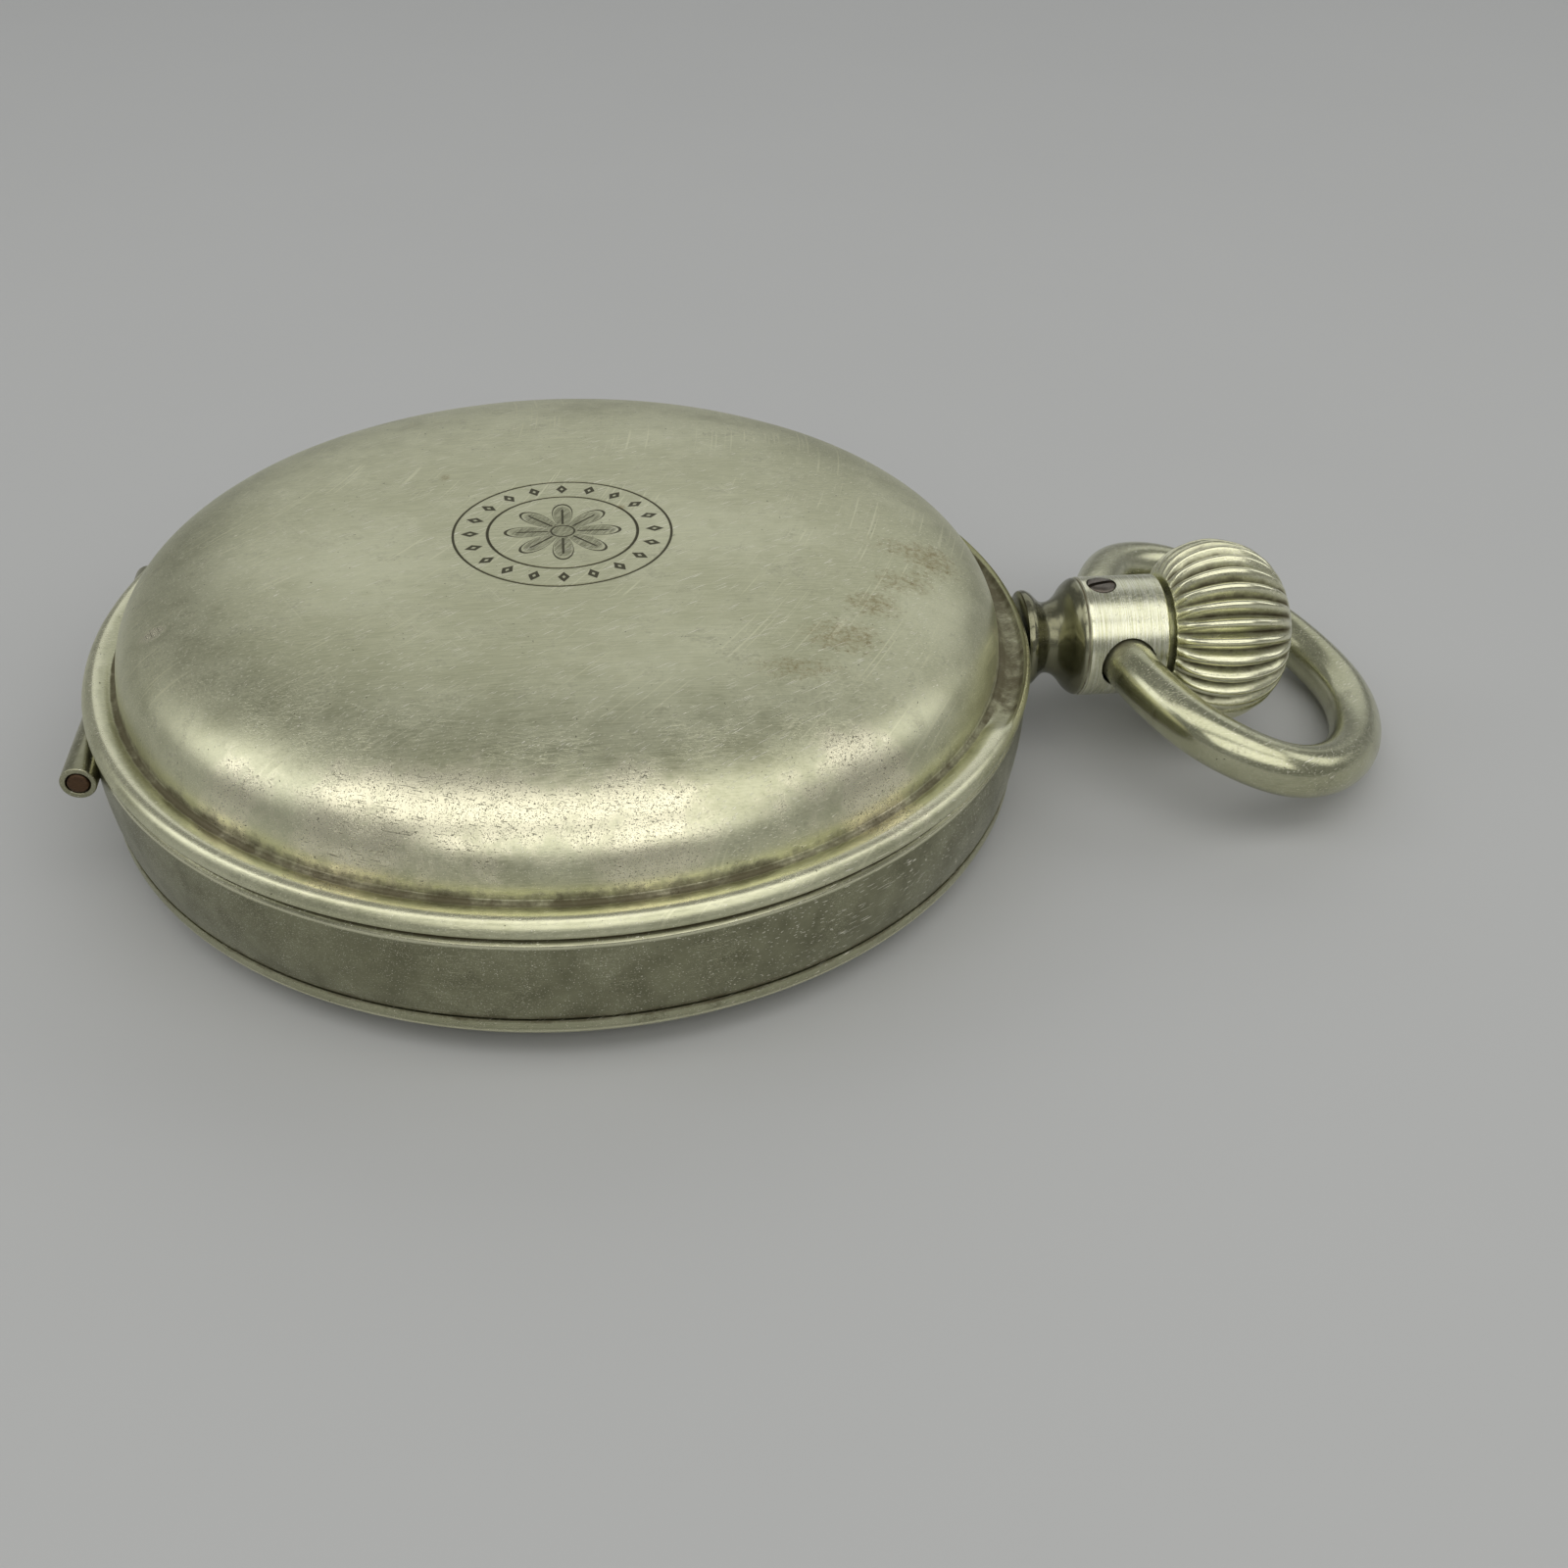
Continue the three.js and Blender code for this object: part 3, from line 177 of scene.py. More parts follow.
def evenly(line, count):
    """The same line with count points, equally far apart along it."""
    line = np.array(line, float)
    run = np.r_[0, np.cumsum(np.linalg.norm(np.diff(line, axis=0), axis=1))]
    at = np.linspace(0, run[-1], count)
    return np.stack([np.interp(at, run, line[:, i]) for i in range(line.shape[1])], 1)


def turned(profile, columns, axis="z", centre=(0, 0, 0)):
    """A profile of [radius, height] swept round an axis: radius*cos, radius*sin and height."""
    a = np.linspace(0, 2 * np.pi, columns, endpoint=False)[None]
    r, h = profile[:, 0, None], profile[:, 1, None] + 0 * a
    u, v = r * np.cos(a), r * np.sin(a)
    order = {"z": (u, v, h), "x": (h, u, v), "y": (v, h, u)}[axis]
    return np.stack(order, -1) + np.array(centre, float)


def smoothstep(low, high, value):
    """0 below low, 1 above high, and 3t^2 - 2t^3 between."""
    t = np.clip((value - low) / (high - low), 0, 1)
    return t * t * (3 - 2 * t)


# %% [markdown]
# ## The domed back
# The back was struck from sheet over a die, then turned. Its outside is a superellipse: nearly flat in
# the middle with a full, round shoulder. Two ring lines are cut in the crown of the dome, and decades
# in a waistcoat pocket have left it slightly wavy, with two shallow dents in the shoulder. The waves
# and dents are real displacement along the surface, so reflections bend over them.

# %% Lay out the dome's profile
DOME = {"foot_r": 23.8, "foot_z": GAP_Z - 0.54, "rise": DOME_TOP - GAP_Z + 0.54, "power": 3.67}
WALL = 0.6
RING_LINES = (3.99, 5.80)
RING_DEPTH = 0.045


def dome_line(foot_r, foot_z, rise, power, stop=0.93):
    """r = R*sin(t)^(2/p) and z = foot + rise*cos(t)^(2/p), from the middle out to the foot."""
    t = np.linspace(0, np.pi / 2 * stop + 0.02, 3000)
    return np.stack([foot_r * np.sin(t) ** (2 / power), foot_z + rise * np.cos(t) ** (2 / power)], 1)


def cover_profile():
    """Outside from the middle to the groove, the bead, the underside, the snap lip, and the inside."""
    dome = dome_line(**DOME, stop=0.955)
    fine = np.r_[0.0, np.linspace(0.5, 3.8, 9)]
    for ring in RING_LINES:
        fine = np.r_[fine, ring + np.linspace(-0.12, 0.12, 7)]
        fine = np.r_[fine, np.linspace(ring + 0.3, ring + 1.6, 5)]
    fine = np.sort(fine[fine < 7.3])
    crown = np.stack([fine, np.interp(fine, dome[:, 0], dome[:, 1])], 1)
    crown[:, 1] -= RING_DEPTH * sum(np.exp(-(((fine - ring) / 0.05) ** 2)) for ring in RING_LINES)
    flank = evenly(dome[dome[:, 0] > 7.4], 84)
    flank = flank[flank[:, 1] > GAP_Z + 1.0]
    bead = flowing([
        [23.79, 8.5], [23.85, 8.38], [23.96, 8.33], [24.15, 8.37], [24.4, 8.47],
        [24.7, 8.54], [24.97, 8.55], [25.23, 8.46], [25.43, 8.27], [25.56, 8.02],
        [25.57, 7.84], [25.47, 7.68], [25.3, 7.58], [25.1, 7.53],
    ], 4)
    below = np.array([
        [24.9, 7.51], [24.6, 7.5], [23.95, 7.5], [23.88, 7.47], [23.85, 7.4], [23.85, 7.06],
        [23.8, 7.0], [23.5, 7.0], [23.44, 7.05], [23.36, 7.5], [23.3, 7.9],
    ])
    inside = dome_line(DOME["foot_r"] - WALL, DOME["foot_z"], DOME["rise"] - WALL, DOME["power"], 0.9)
    inside = evenly(inside, 40)[::-1]
    return np.vstack([crown, flank, bead, below, inside[inside[:, 1] > 8.2], [[0, inside[-1, 1]]]])


cover_rows = cover_profile()
print("cover profile rows", len(cover_rows))

# %% [markdown]
# Dents and waves are sums of Gaussian hollows: depth * exp(-(distance / reach)^2). A few dozen very
# faint ones, drawn from a seeded generator, make the sheet metal look beaten and handled. Beside the
# pendant the bead is filed away into a thumb recess, with a thin lip left outside it to catch a nail.

# %% Shape the back cover
COLUMNS = 384
RECESS_FLOOR = 7.9
RIM_FOOT = 7.5
HINGE_RELIEF_X, HINGE_RELIEF_HALF = -20.5, 11.6
DENTS = [  # bearing in degrees, radius, reach, depth
    (-128, 22.6, 2.3, 0.17),
    (-113, 23.2, 1.7, 0.11),
    (-60, 22.9, 2.6, 0.07),
    (-163, 21.3, 1.0, 0.035),
    (104, 14.5, 1.2, 0.02),
]


def hollow(x, y, bearing, r, reach, deep):
    """One round dent: deep * exp(-(distance / reach)^2), centred at a radius and a bearing in radians."""
    distance = np.hypot(x - r * math.cos(bearing), y - r * math.sin(bearing))
    return deep * np.exp(-((distance / reach) ** 2))


def hollows(x, y):
    """Total depth of the dents and faint waves at each point of the dome, never outwards."""
    depth = 0 * x
    for bearing, r, reach, deep in DENTS:
        depth = depth + hollow(x, y, math.radians(bearing), r, reach, deep)
    rng = np.random.default_rng(11)
    for _ in range(46):
        bearing, r = rng.uniform(0, 2 * np.pi), 23 * math.sqrt(rng.uniform(0.05, 1))
        depth = depth + hollow(x, y, bearing, r, rng.uniform(1.6, 4.2), rng.normal(0.006, 0.013))
    return np.maximum(depth, 0)


def pressed_in(points, profile, last_outer):
    """Moves the outside by the hollows' depth along its normal, which is the profile's tangent turned."""
    tangent = np.gradient(profile, axis=0)
    tangent /= np.maximum(np.linalg.norm(tangent, axis=1, keepdims=True), 1e-9)
    outer = np.arange(len(profile)) < last_outer
    depth = hollows(points[..., 0], points[..., 1]) * outer[:, None]
    bearing = np.arctan2(points[..., 1], points[..., 0])
    points[..., 0] += depth * tangent[:, 1, None] * np.cos(bearing)
    points[..., 1] += depth * tangent[:, 1, None] * np.sin(bearing)
    points[..., 2] -= depth * tangent[:, 0, None]
    return bearing


def back_cover_points(profile):
    """The profile swept round Z, dented, filed at the thumb recess and relieved at the hinge."""
    points = turned(profile, COLUMNS)
    x, y, z = points[..., 0], points[..., 1], points[..., 2]
    r = np.hypot(x, y)
    last_outer = int(np.argmin(abs(profile[:, 1] - 8.5) + 9 * (profile[:, 0] < 23)))
    near_hinge = (x < HINGE_RELIEF_X) & (abs(y) < HINGE_RELIEF_HALF)
    degrees = np.degrees(pressed_in(points, profile, last_outer))
    share = smoothstep(-31, -23, degrees) * smoothstep(28, 22, degrees)
    floor_z = RECESS_FLOOR + 0.36 * smoothstep(24.95, 25.31, r) + 0.3 * smoothstep(24.35, 23.9, r)
    past_dome = (np.arange(len(profile)) >= last_outer)[:, None]
    in_recess = (r > 23.82) & (r < 25.33) & (z > RECESS_FLOOR) & past_dome
    points[..., 2] = np.where(in_recess, z * (1 - share) + floor_z * share, z)
    points[..., 2] = np.where(near_hinge & (z < RIM_FOOT), RIM_FOOT, z)
    return points, share


# %% [markdown]
# Where dirt gathers and where hands polish depend on the shape: the groove at the dome's foot and the
# underside of the bead hold grime, the floor of the thumb recess is marked dark as partly dirt and partly
# painted shade for the hollow channel, and the bead's crest and the thin lip are rubbed bright. These
# values ride on the mesh's points for the finish to read.

# %% Mark dirt, painted shade and wear on the back cover
cover_points, recess_share = back_cover_points(cover_rows)
pr, pz = cover_rows[:, 0], cover_rows[:, 1]
outside = np.arange(len(pr)) < np.argmax(pz < 7.52)
groove = np.exp(-(((pr - 23.93) / 0.15) ** 2)) * (pz < 8.75) * outside
foot = smoothstep(10.0, 8.5, pz) * smoothstep(22.9, 23.6, pr) * (pr < 24.1) * outside
under_bead = smoothstep(7.78, 7.6, pz) * outside
recess_floor_dirt_and_shade = ((pr > 23.9) & (pr < 25.22) & outside)[:, None]
# The recess floor's 0.85 share is partly dirt and partly painted shade for the hollow thumb recess.
grime_and_shade = np.clip(0.9 * groove + 0.45 * foot + under_bead, 0, 1)[:, None] + recess_share * recess_floor_dirt_and_shade * 0.85
bead_crest = (np.exp(-(((pr - 24.95) / 0.42) ** 2)) * (pz > 8.2) * outside)[:, None]
lip = recess_share * (np.exp(-(((pr - 25.42) / 0.13) ** 2)) * outside)[:, None]
cover_marks = {
    "grime_and_shade": np.clip(grime_and_shade - lip, 0, 1),
    "worn": np.clip(bead_crest * (1 - recess_share) + lip, 0, 1),
}
back_shell = surface("back_shell", cover_points, marks=cover_marks)

# %% [markdown]
# ## Hinge
# The back swings on a long steel pin through three knuckles. The middle knuckle belongs to the back and
# reaches down to the pin on a short web, the outer two are soldered to the band and stand proud of the
# round rim at both ends. A knuckle is a small tube: a closed ring profile turned about the pin.

# %% Make the hinge
KNUCKLE = {"r": 0.9, "bore": 0.6, "middle": 3.4, "end": 10.3}
PIN_R = 0.55


def knuckle_tube(name, y0, y1, r=KNUCKLE["r"], bore=KNUCKLE["bore"], at=(HINGE_X, 0, HINGE_Z)):
    """A tube along Y: a closed rectangle of [radius, y] with softened corners, turned about the pin."""
    ring = rounded([[bore, y0], [r, y0], [r, y1], [bore, y1]], 0.09)
    marks = {"grime_and_shade": 0.35 * np.exp(-((ring[:, 1] - y0) / 0.5) ** 2)[:, None], "worn": 0.5}
    return surface(name, turned(ring, 40, "y", at), wrap_rows=True, marks=marks)


def web_piece(name, half, at, foot_x, top_z):
    """A bar along Y whose cross-section leans from the knuckle up to the cover's rim."""
    x, _, z = at
    outline = rounded([
        [x - 0.6, z], [x - 0.35, top_z], [foot_x, top_z],
        [foot_x, z + 0.75], [x + 0.75, z], [x, z + 0.6],
    ], 0.12)
    y = np.array([-half, -half, -half + 0.08, half - 0.08, half, half])
    shrink = np.array([0, 0.92, 1, 1, 0.92, 0])
    middle = outline.mean(0)
    section = middle + (outline - middle) * shrink[:, None, None]
    across = np.broadcast_to(y[:, None, None], section.shape[:2] + (1,))
    points = np.concatenate([section[..., :1], across, section[..., 1:]], -1)
    return surface(name, points, marks={"grime_and_shade": 0.5, "worn": 0.2})


hinge_middle = knuckle_tube("hinge_middle", -KNUCKLE["middle"], KNUCKLE["middle"])
hinge_at = (HINGE_X, 0, HINGE_Z)
hinge_web = web_piece("hinge_web", KNUCKLE["middle"] - 0.02, hinge_at, HINGE_X + 0.75, GAP_Z + 0.22)
hinge_near = knuckle_tube("hinge_near", -KNUCKLE["end"], -KNUCKLE["middle"] - 0.1)
hinge_far = knuckle_tube("hinge_far", KNUCKLE["end"], KNUCKLE["middle"] + 0.1)
pin_half = box_mm("back_hinge_pin")[1][1]
pin_ends = [[0, -pin_half], [PIN_R, -pin_half], [PIN_R, pin_half], [0, pin_half]]
pin_line = rounded(pin_ends, 0.16, closed=False)
hinge_pin = surface("hinge_pin", turned(pin_line, 32, "y", hinge_at))

# %% [markdown]
# ## Band and bezel
# The band carries the movement and takes both covers. Its wall is slightly barrelled. The top edge is
# relieved where the hinge sits, which is done by lowering or pulling in the points of those columns.

# %% Make the band
band_outside = flowing([
    [24.95, 7.39], [25.15, 7.36], [25.33, 7.24], [25.42, 7.04], [25.45, 6.4],
    [25.44, 5.2], [25.3, 3.8], [25.1, 2.75], [25.02, 2.46],
], 8)
band_inside = rounded([
    [25.0, 2.45], [23.95, 2.45], [23.95, 3.3], [22.3, 3.3],
    [22.3, 6.65], [24.0, 6.65], [24.0, 7.4], [24.9, 7.4],
], 0.06, 4, closed=False)
band_line = np.vstack([band_outside, band_inside[1:]])


SEAT_TOP = 7.15
NOTCH_X = -23.6


def band_points(profile):
    """The band swept round Z, lowered under the knuckles and pulled in behind the middle one."""
    points = turned(profile, COLUMNS)
    x, y, z = points[..., 0], points[..., 1], points[..., 2]
    low = (x < -24.2) & (abs(y) < KNUCKLE["end"] + 0.1) & (z > SEAT_TOP)
    points[..., 2] = np.where(low, SEAT_TOP, z)
    notch = (x < NOTCH_X) & (abs(y) < KNUCKLE["middle"] + 0.1) & (z > HINGE_Z - 0.8)
    points[..., 0] = np.where(notch, NOTCH_X, x)
    return points


band_z = band_line[:, 1]
on_outside = np.arange(len(band_z)) < len(band_outside)
band_grime = (smoothstep(2.95, 2.5, band_z) * 0.75 + smoothstep(7.26, 7.36, band_z)) * on_outside
band_worn = np.exp(-(((band_z - 7.12) / 0.12) ** 2)) * on_outside
band = surface("band", band_points(band_line), wrap_rows=True,
               marks={"grime_and_shade": band_grime[:, None], "worn": band_worn[:, None]})

# %% [markdown]
# The bezel snaps on below the band, and dirt fills the seam between them. Two fine turned ridges run
# round it, and catch the light where they are rubbed.

# %% Make the bezel
bezel_outside = flowing([
    [25.05, 2.34], [25.09, 2.1], [25.08, 1.86], [24.96, 1.78], [25.0, 1.66],
    [24.92, 1.5], [24.72, 1.34], [24.62, 1.3], [24.6, 1.16], [24.3, 0.98],
    [23.6, 0.68], [22.8, 0.52], [22.1, 0.46], [21.6, 0.5], [21.38, 0.62],
], 5)
bezel_inside = rounded([
    [21.4, 0.66], [21.75, 1.02], [21.75, 2.35], [23.1, 2.35],
    [23.1, 3.1], [23.7, 3.1], [23.7, 2.35], [25.0, 2.35],
], 0.05, 3, closed=False)
bezel_line = np.vstack([bezel_outside, bezel_inside[1:]])
bz = bezel_line[:, 1]
seam = smoothstep(2.1, 2.3, bz) * (bezel_line[:, 0] > 24.9) * 0.8
seam = seam + 0.6 * np.exp(-(((bz - 1.79) / 0.05) ** 2))
bezel_wear = np.exp(-(((bz - 1.62) / 0.09) ** 2)) + np.exp(-(((bz - 1.2) / 0.08) ** 2))
on_bezel = np.arange(len(bz)) < len(bezel_outside)
bezel = surface("bezel_ring", turned(bezel_line, COLUMNS), wrap_rows=True,
                marks={"grime_and_shade": (seam * on_bezel)[:, None], "worn": (bezel_wear * on_bezel)[:, None]})

# %% [markdown]
# Under the back lies a thinner, flatter dust cover on its own small hinge. It was spun from one disc,
# with a flange that rests on the ledge of the band; the flange is cut straight beside the hinge.

# %% Make the dust cover and its hinge
inner_x, _, inner_z = JOINT_AT["inner_cover_hinge"]
DUST_R, DUST_RISE, DUST_WALL, FLANGE_R = 22.0, 3.9, 0.45, 23.2
top_z, foot_z = GAP_Z - 0.1, GAP_Z - 0.1 - DUST_WALL
inner_r = DUST_R - DUST_WALL
dust_outside = evenly(dome_line(DUST_R, top_z, DUST_RISE, 3, 0.985), 70)
dust_inside = evenly(dome_line(inner_r, top_z, DUST_RISE - DUST_WALL, 3, 0.97), 60)[::-1]
flange = rounded([[DUST_R, top_z], [FLANGE_R, top_z], [FLANGE_R, foot_z], [inner_r, foot_z]], 0.08)
dust_line = np.vstack([dust_outside[:-1], flange, dust_inside[1:], [[0, dust_inside[-1, 1]]]])
dust_points = turned(dust_line, 300)
dust_x, dust_y, dust_z = (dust_points[..., i] for i in range(3))
cut_x = inner_x + 0.45
beside_hinge = (dust_x < cut_x) & (abs(dust_y) < 4.9) & (dust_z < 8)
dust_points[..., 0] = np.where(beside_hinge, cut_x, dust_x)
dust_shell = surface("dust_shell", dust_points)
INNER_HINGE = {"r": 0.45, "bore": 0.27, "at": (inner_x, 0, inner_z)}
dust_knuckle = knuckle_tube("dust_knuckle", -1.6, 1.6, **INNER_HINGE)
inner_knuckles = [
    knuckle_tube(f"inner_knuckle_{side}", y0, y1, **INNER_HINGE)
    for side, y0, y1 in (("near", -4.6, -1.68), ("far", 1.68, 4.6))
]

# %% [markdown]
# ## Pendant, bow screw and bow
# The pendant is the neck that the bow swings in and the stem passes through: a flange soldered to the
# band, a deep throat, a bell-shaped flare and a plain cylinder. The bow's ends sit in two cross-drilled
# holes, and a small slotted screw on top holds the stem's sleeve. Holes and the screw's slot are real
# cuts, made with an exact Boolean against a tube and a bar.

# %% Cut one piece with others
def cut_with(piece, *cutters):
    """Takes the cutters' volume out of the piece, then throws the cutters away."""
    for cutter in cutters:
        step = piece.modifiers.new("cut", "BOOLEAN")
        step.object, step.operation, step.solver = cutter, "DIFFERENCE", "EXACT"
    bpy.context.view_layer.update()
    shown = piece.evaluated_get(bpy.context.evaluated_depsgraph_get())
    cut_mesh = bpy.data.meshes.new_from_object(shown)
    piece.modifiers.clear()
    piece.data = cut_mesh
    cut_mesh.name = piece.name
    for cutter in cutters:
        bpy.data.objects.remove(cutter)
    tidy_mesh(cut_mesh, 32)
    return piece


def round_bar(name, r, a0, a1, axis, centre, columns=64):
    """A plain closed rod used as a cutter."""
    line = np.array([[0, a0], [r, a0], [r, a1], [0, a1]], float)
    return surface(name, turned(line, columns, axis, centre))


# %% [markdown]
# The pendant's profile is given along the stem. Dirt lies in the throat and at the line where the bell
# meets the cylinder, and the corners of flange and cylinder are rubbed.

# %% Make the pendant
pendant_line = np.vstack([
    [[1.3, 25.72], [2.6, 25.72]],
    flowing([
        [2.72, 25.76], [2.78, 26.0], [2.66, 26.28], [2.4, 26.55], [2.14, 26.85], [2.04, 27.15],
        [2.1, 27.5], [2.3, 27.82], [2.62, 28.12], [3.0, 28.4], [3.26, 28.68], [3.37, 28.92],
        [3.33, 29.0], [3.35, 29.08],
    ], 5),
    flowing([
        [3.41, 29.14], [3.42, 29.3], [3.42, 30.5], [3.42, 32.6],
        [3.42, 33.45], [3.38, 33.62], [3.3, 33.69],
    ], 7),
    [[2.65, PENDANT_END], [2.55, PENDANT_END - 0.08], [2.55, 31.0], [1.3, 31.0]],
])
px = pendant_line[:, 1]
throat = np.exp(-(((px - 27.2) / 0.8) ** 2)) * 0.5 + np.exp(-(((px - 26.5) / 0.2) ** 2)) * 0.3
step_line = np.exp(-(((px - 29.03) / 0.09) ** 2))
edges = sum(np.exp(-(((px - at) / wide) ** 2)) for at, wide in ((33.6, 0.12), (29.25, 0.12), (26.0, 0.2)))
neck_marks = {"grime_and_shade": np.clip(throat + step_line, 0, 1)[:, None], "worn": np.clip(edges, 0, 1)[:, None]}
neck_points = turned(pendant_line, 144, "x", (0, 0, STEM_Z))
pendant = surface("pendant_body", neck_points, wrap_rows=True, marks=neck_marks)
SCREW_X = 30.2
bow_hole = round_bar("bow_hole", 1.6, -6, 6, "y", (BOW_X, 0, STEM_Z))
screw_seat = round_bar("screw_seat", 0.86, STEM_Z + 2.9, STEM_Z + 5, "z", (SCREW_X, 0, 0), 48)
cut_with(pendant, bow_hole, screw_seat)

# %% [markdown]
# All screws have a turned head and a slot cut by a long bar. The pendant's screw is domed and its slot
# lies a little off the stem's line. The movement's bridges are held by blued, flat-headed screws, each
# inside the frame's own box for it, with the slot left at a random angle by the watchmaker.

# %% Cut slots in screws
def slot_bar(half_length, half_width, deep, at, angle):
    """A box turned by an angle about its middle, reaching deep below a point and well above it."""
    flat = np.array([[-1, -1], [1, -1], [1, 1], [-1, 1]]) * (half_length, half_width)
    c, d = math.cos(angle), math.sin(angle)
    flat = flat @ np.array([[c, d], [-d, c]])
    low = np.c_[flat, np.full(4, -deep)]
    high = np.c_[flat, np.full(4, 0.4)]
    faces = [[0, 3, 2, 1], [4, 5, 6, 7], [0, 1, 5, 4], [1, 2, 6, 5], [2, 3, 7, 6], [3, 0, 4, 7]]
    return mesh_piece("slot_bar", np.vstack([low, high]) + at, np.array(faces))


def slotted_screw(name, angle):
    """A chamfered head inside the node's own box, with a slot a fifth of its width."""
    low, high = box_mm(name)
    r, (x, y, _), top = (high[0] - low[0]) / 2, (low + high) / 2, high[2]
    corners = [[0, low[2]], [r, low[2]], [r, top - 0.08], [r - 0.08, top], [0, top]]
    line = rounded(corners, 0.03, 4, closed=False)
    piece = surface(f"{name}_head", turned(line, 40, "z", (x, y, 0)))
    return cut_with(piece, slot_bar(2 * r, 0.1 * r, 0.16, (x, y, top), angle))


screw_top = box_mm("pendant_screw")[1][2]
head = rounded([
    [0, screw_top - 0.52], [0.82, screw_top - 0.52], [0.82, screw_top - 0.12],
    [0.55, screw_top - 0.02], [0, screw_top],
], 0.1, closed=False)
screw = surface("screw_head", turned(head, 56, "z", (SCREW_X, 0, 0)))
cut_with(screw, slot_bar(2, 0.14, 0.22, (SCREW_X, 0, screw_top), math.radians(14)))
rng = np.random.default_rng(5)
other = ("pendant_screw", "ratchet_screw")
screw_nodes = [name for name in sorted(frame["nodes"]) if "_screw" in name and name not in other]
works_screws = {name: slotted_screw(name, rng.uniform(0, math.pi)) for name in screw_nodes}
print("slotted screws", len(works_screws))

# %% [markdown]
# The bow is one round wire bent into a flattened loop. Its centre line is a superellipse in a plane that
# hangs from the pivot until the loop meets the table, with both ends turned square into the pendant.
# A tube is swept along it: at each station two directions square to the line carry a circle.

# %% Sweep the bow
BOW_TILT = math.radians(17.3)
BOW_WIRE = 1.46
LOOP_MIDDLE, LOOP_HALF_LONG, LOOP_HALF_WIDE = 7.0, 8.64, 11.17


def bow_line():
    """u = middle + long*cos^(2/n), v = wide*sin^(2/n), joined to two straight ends and tilted."""
    a = np.radians(np.linspace(126, 0, 40))
    power = 2 / 1.76
    u = LOOP_MIDDLE + LOOP_HALF_LONG * np.sign(np.cos(a)) * abs(np.cos(a)) ** power
    v = LOOP_HALF_WIDE * np.sin(a) ** power
    half = np.vstack([[[0, 2.35], [0, 2.9], [0, 3.55], [0.2, 4.6], [0.95, 6.3]], np.stack([u, v], 1)])
    half = np.vstack([flowing(half[:7], 4), half[7:]])
    whole = np.vstack([half, (half * [1, -1])[::-1][1:]])
    whole = evenly(flowing(whole, 3), 260)
    for _ in range(60):
        whole[3:-3] = (whole[2:-4] + 2 * whole[3:-3] + whole[4:-2]) / 4
    u, v = whole[:, 0], whole[:, 1]
    return np.stack([BOW_X + u * math.cos(BOW_TILT), v, STEM_Z - u * math.sin(BOW_TILT)], 1)


def tube(line, radius, columns, plane_normal):
    """Circles square to the line, centre + radius*(cos*side + sin*normal), closed at each end."""
    along = np.gradient(line, axis=0)
    along /= np.linalg.norm(along, axis=1, keepdims=True)
    normal = np.broadcast_to(plane_normal, line.shape)
    side = np.cross(along, normal)
    a = np.linspace(0, 2 * np.pi, columns, endpoint=False)[None, :, None]
    r = np.broadcast_to(radius, len(line))[:, None, None]
    body = line[:, None] + r * (np.cos(a) * side[:, None] + np.sin(a) * normal[:, None])
    first, last = np.broadcast_to(line[0], body[:1].shape), np.broadcast_to(line[-1], body[:1].shape)
    return np.concatenate([first, body, last])


bow_centre = bow_line()
bow_normal = np.array([math.sin(BOW_TILT), 0, math.cos(BOW_TILT)])
ends = np.minimum(np.arange(len(bow_centre)), np.arange(len(bow_centre))[::-1])
bow_radius = BOW_WIRE - 0.12 * np.exp(-ends / 1.2)
bow_grime = 0.8 * np.exp(-(np.r_[0, ends, 0] / 9.0) ** 2) + 0.1
bow_marks = {"grime_and_shade": bow_grime[:, None], "worn": 0.1}
bow = surface("bow_wire", tube(bow_centre, bow_radius, 44, bow_normal), marks=bow_marks)

# %% [markdown]
# ## Crown
# The winding crown is a small pumpkin of thirty round ribs, with deep grooves that have filled with
# pocket dirt. Its radius is a flowing profile; a wave that is narrow at the crests and wide in the
# grooves is taken off it, and fades out at both ends. The crest and groove values become the wear and
# dirt marks, so the colour follows the shape exactly.

# %% Shape the crown
RIBS = 30
crown_line = evenly(np.vstack([
    [[0.65, 33.98], [3.2, 33.98]],
    flowing([
        [3.55, 34.02], [4.2, 34.42], [4.72, 35.0], [5.08, 35.7], [5.3, 36.5], [5.35, 37.25],
        [5.2, 38.2], [4.86, 39.1], [4.3, 39.95], [3.5, 40.65], [2.5, 41.15],
    ], 8),
    [[2.1, 41.3], [1.2, 41.46], [0, 41.56]],
]), 96)


def crown_points(profile):
    """The profile swept round the stem, less depth * (1 - crest), with crest = (1/2 + cos/2)^0.5."""
    columns = RIBS * 16
    points = turned(profile, columns, "x", (0, 0, 0))
    a = np.linspace(0, 2 * np.pi, columns, endpoint=False)[None]
    crest = (0.5 + 0.5 * np.cos(RIBS * a)) ** 0.5
    x = profile[:, 1, None]
    depth = 0.32 * smoothstep(33.97, 34.15, x) + 0.28 * smoothstep(34.1, 35.1, x)
    depth = depth * smoothstep(41.5, 39.3, x)
    depth = depth * smoothstep(41.45, 41.2, x)
    share = 1 - depth * (1 - crest) / np.maximum(profile[:, 0, None], 0.7)
    points[..., 1:] *= share[..., None]
    points[..., 2] += STEM_Z
    return points, crest, depth


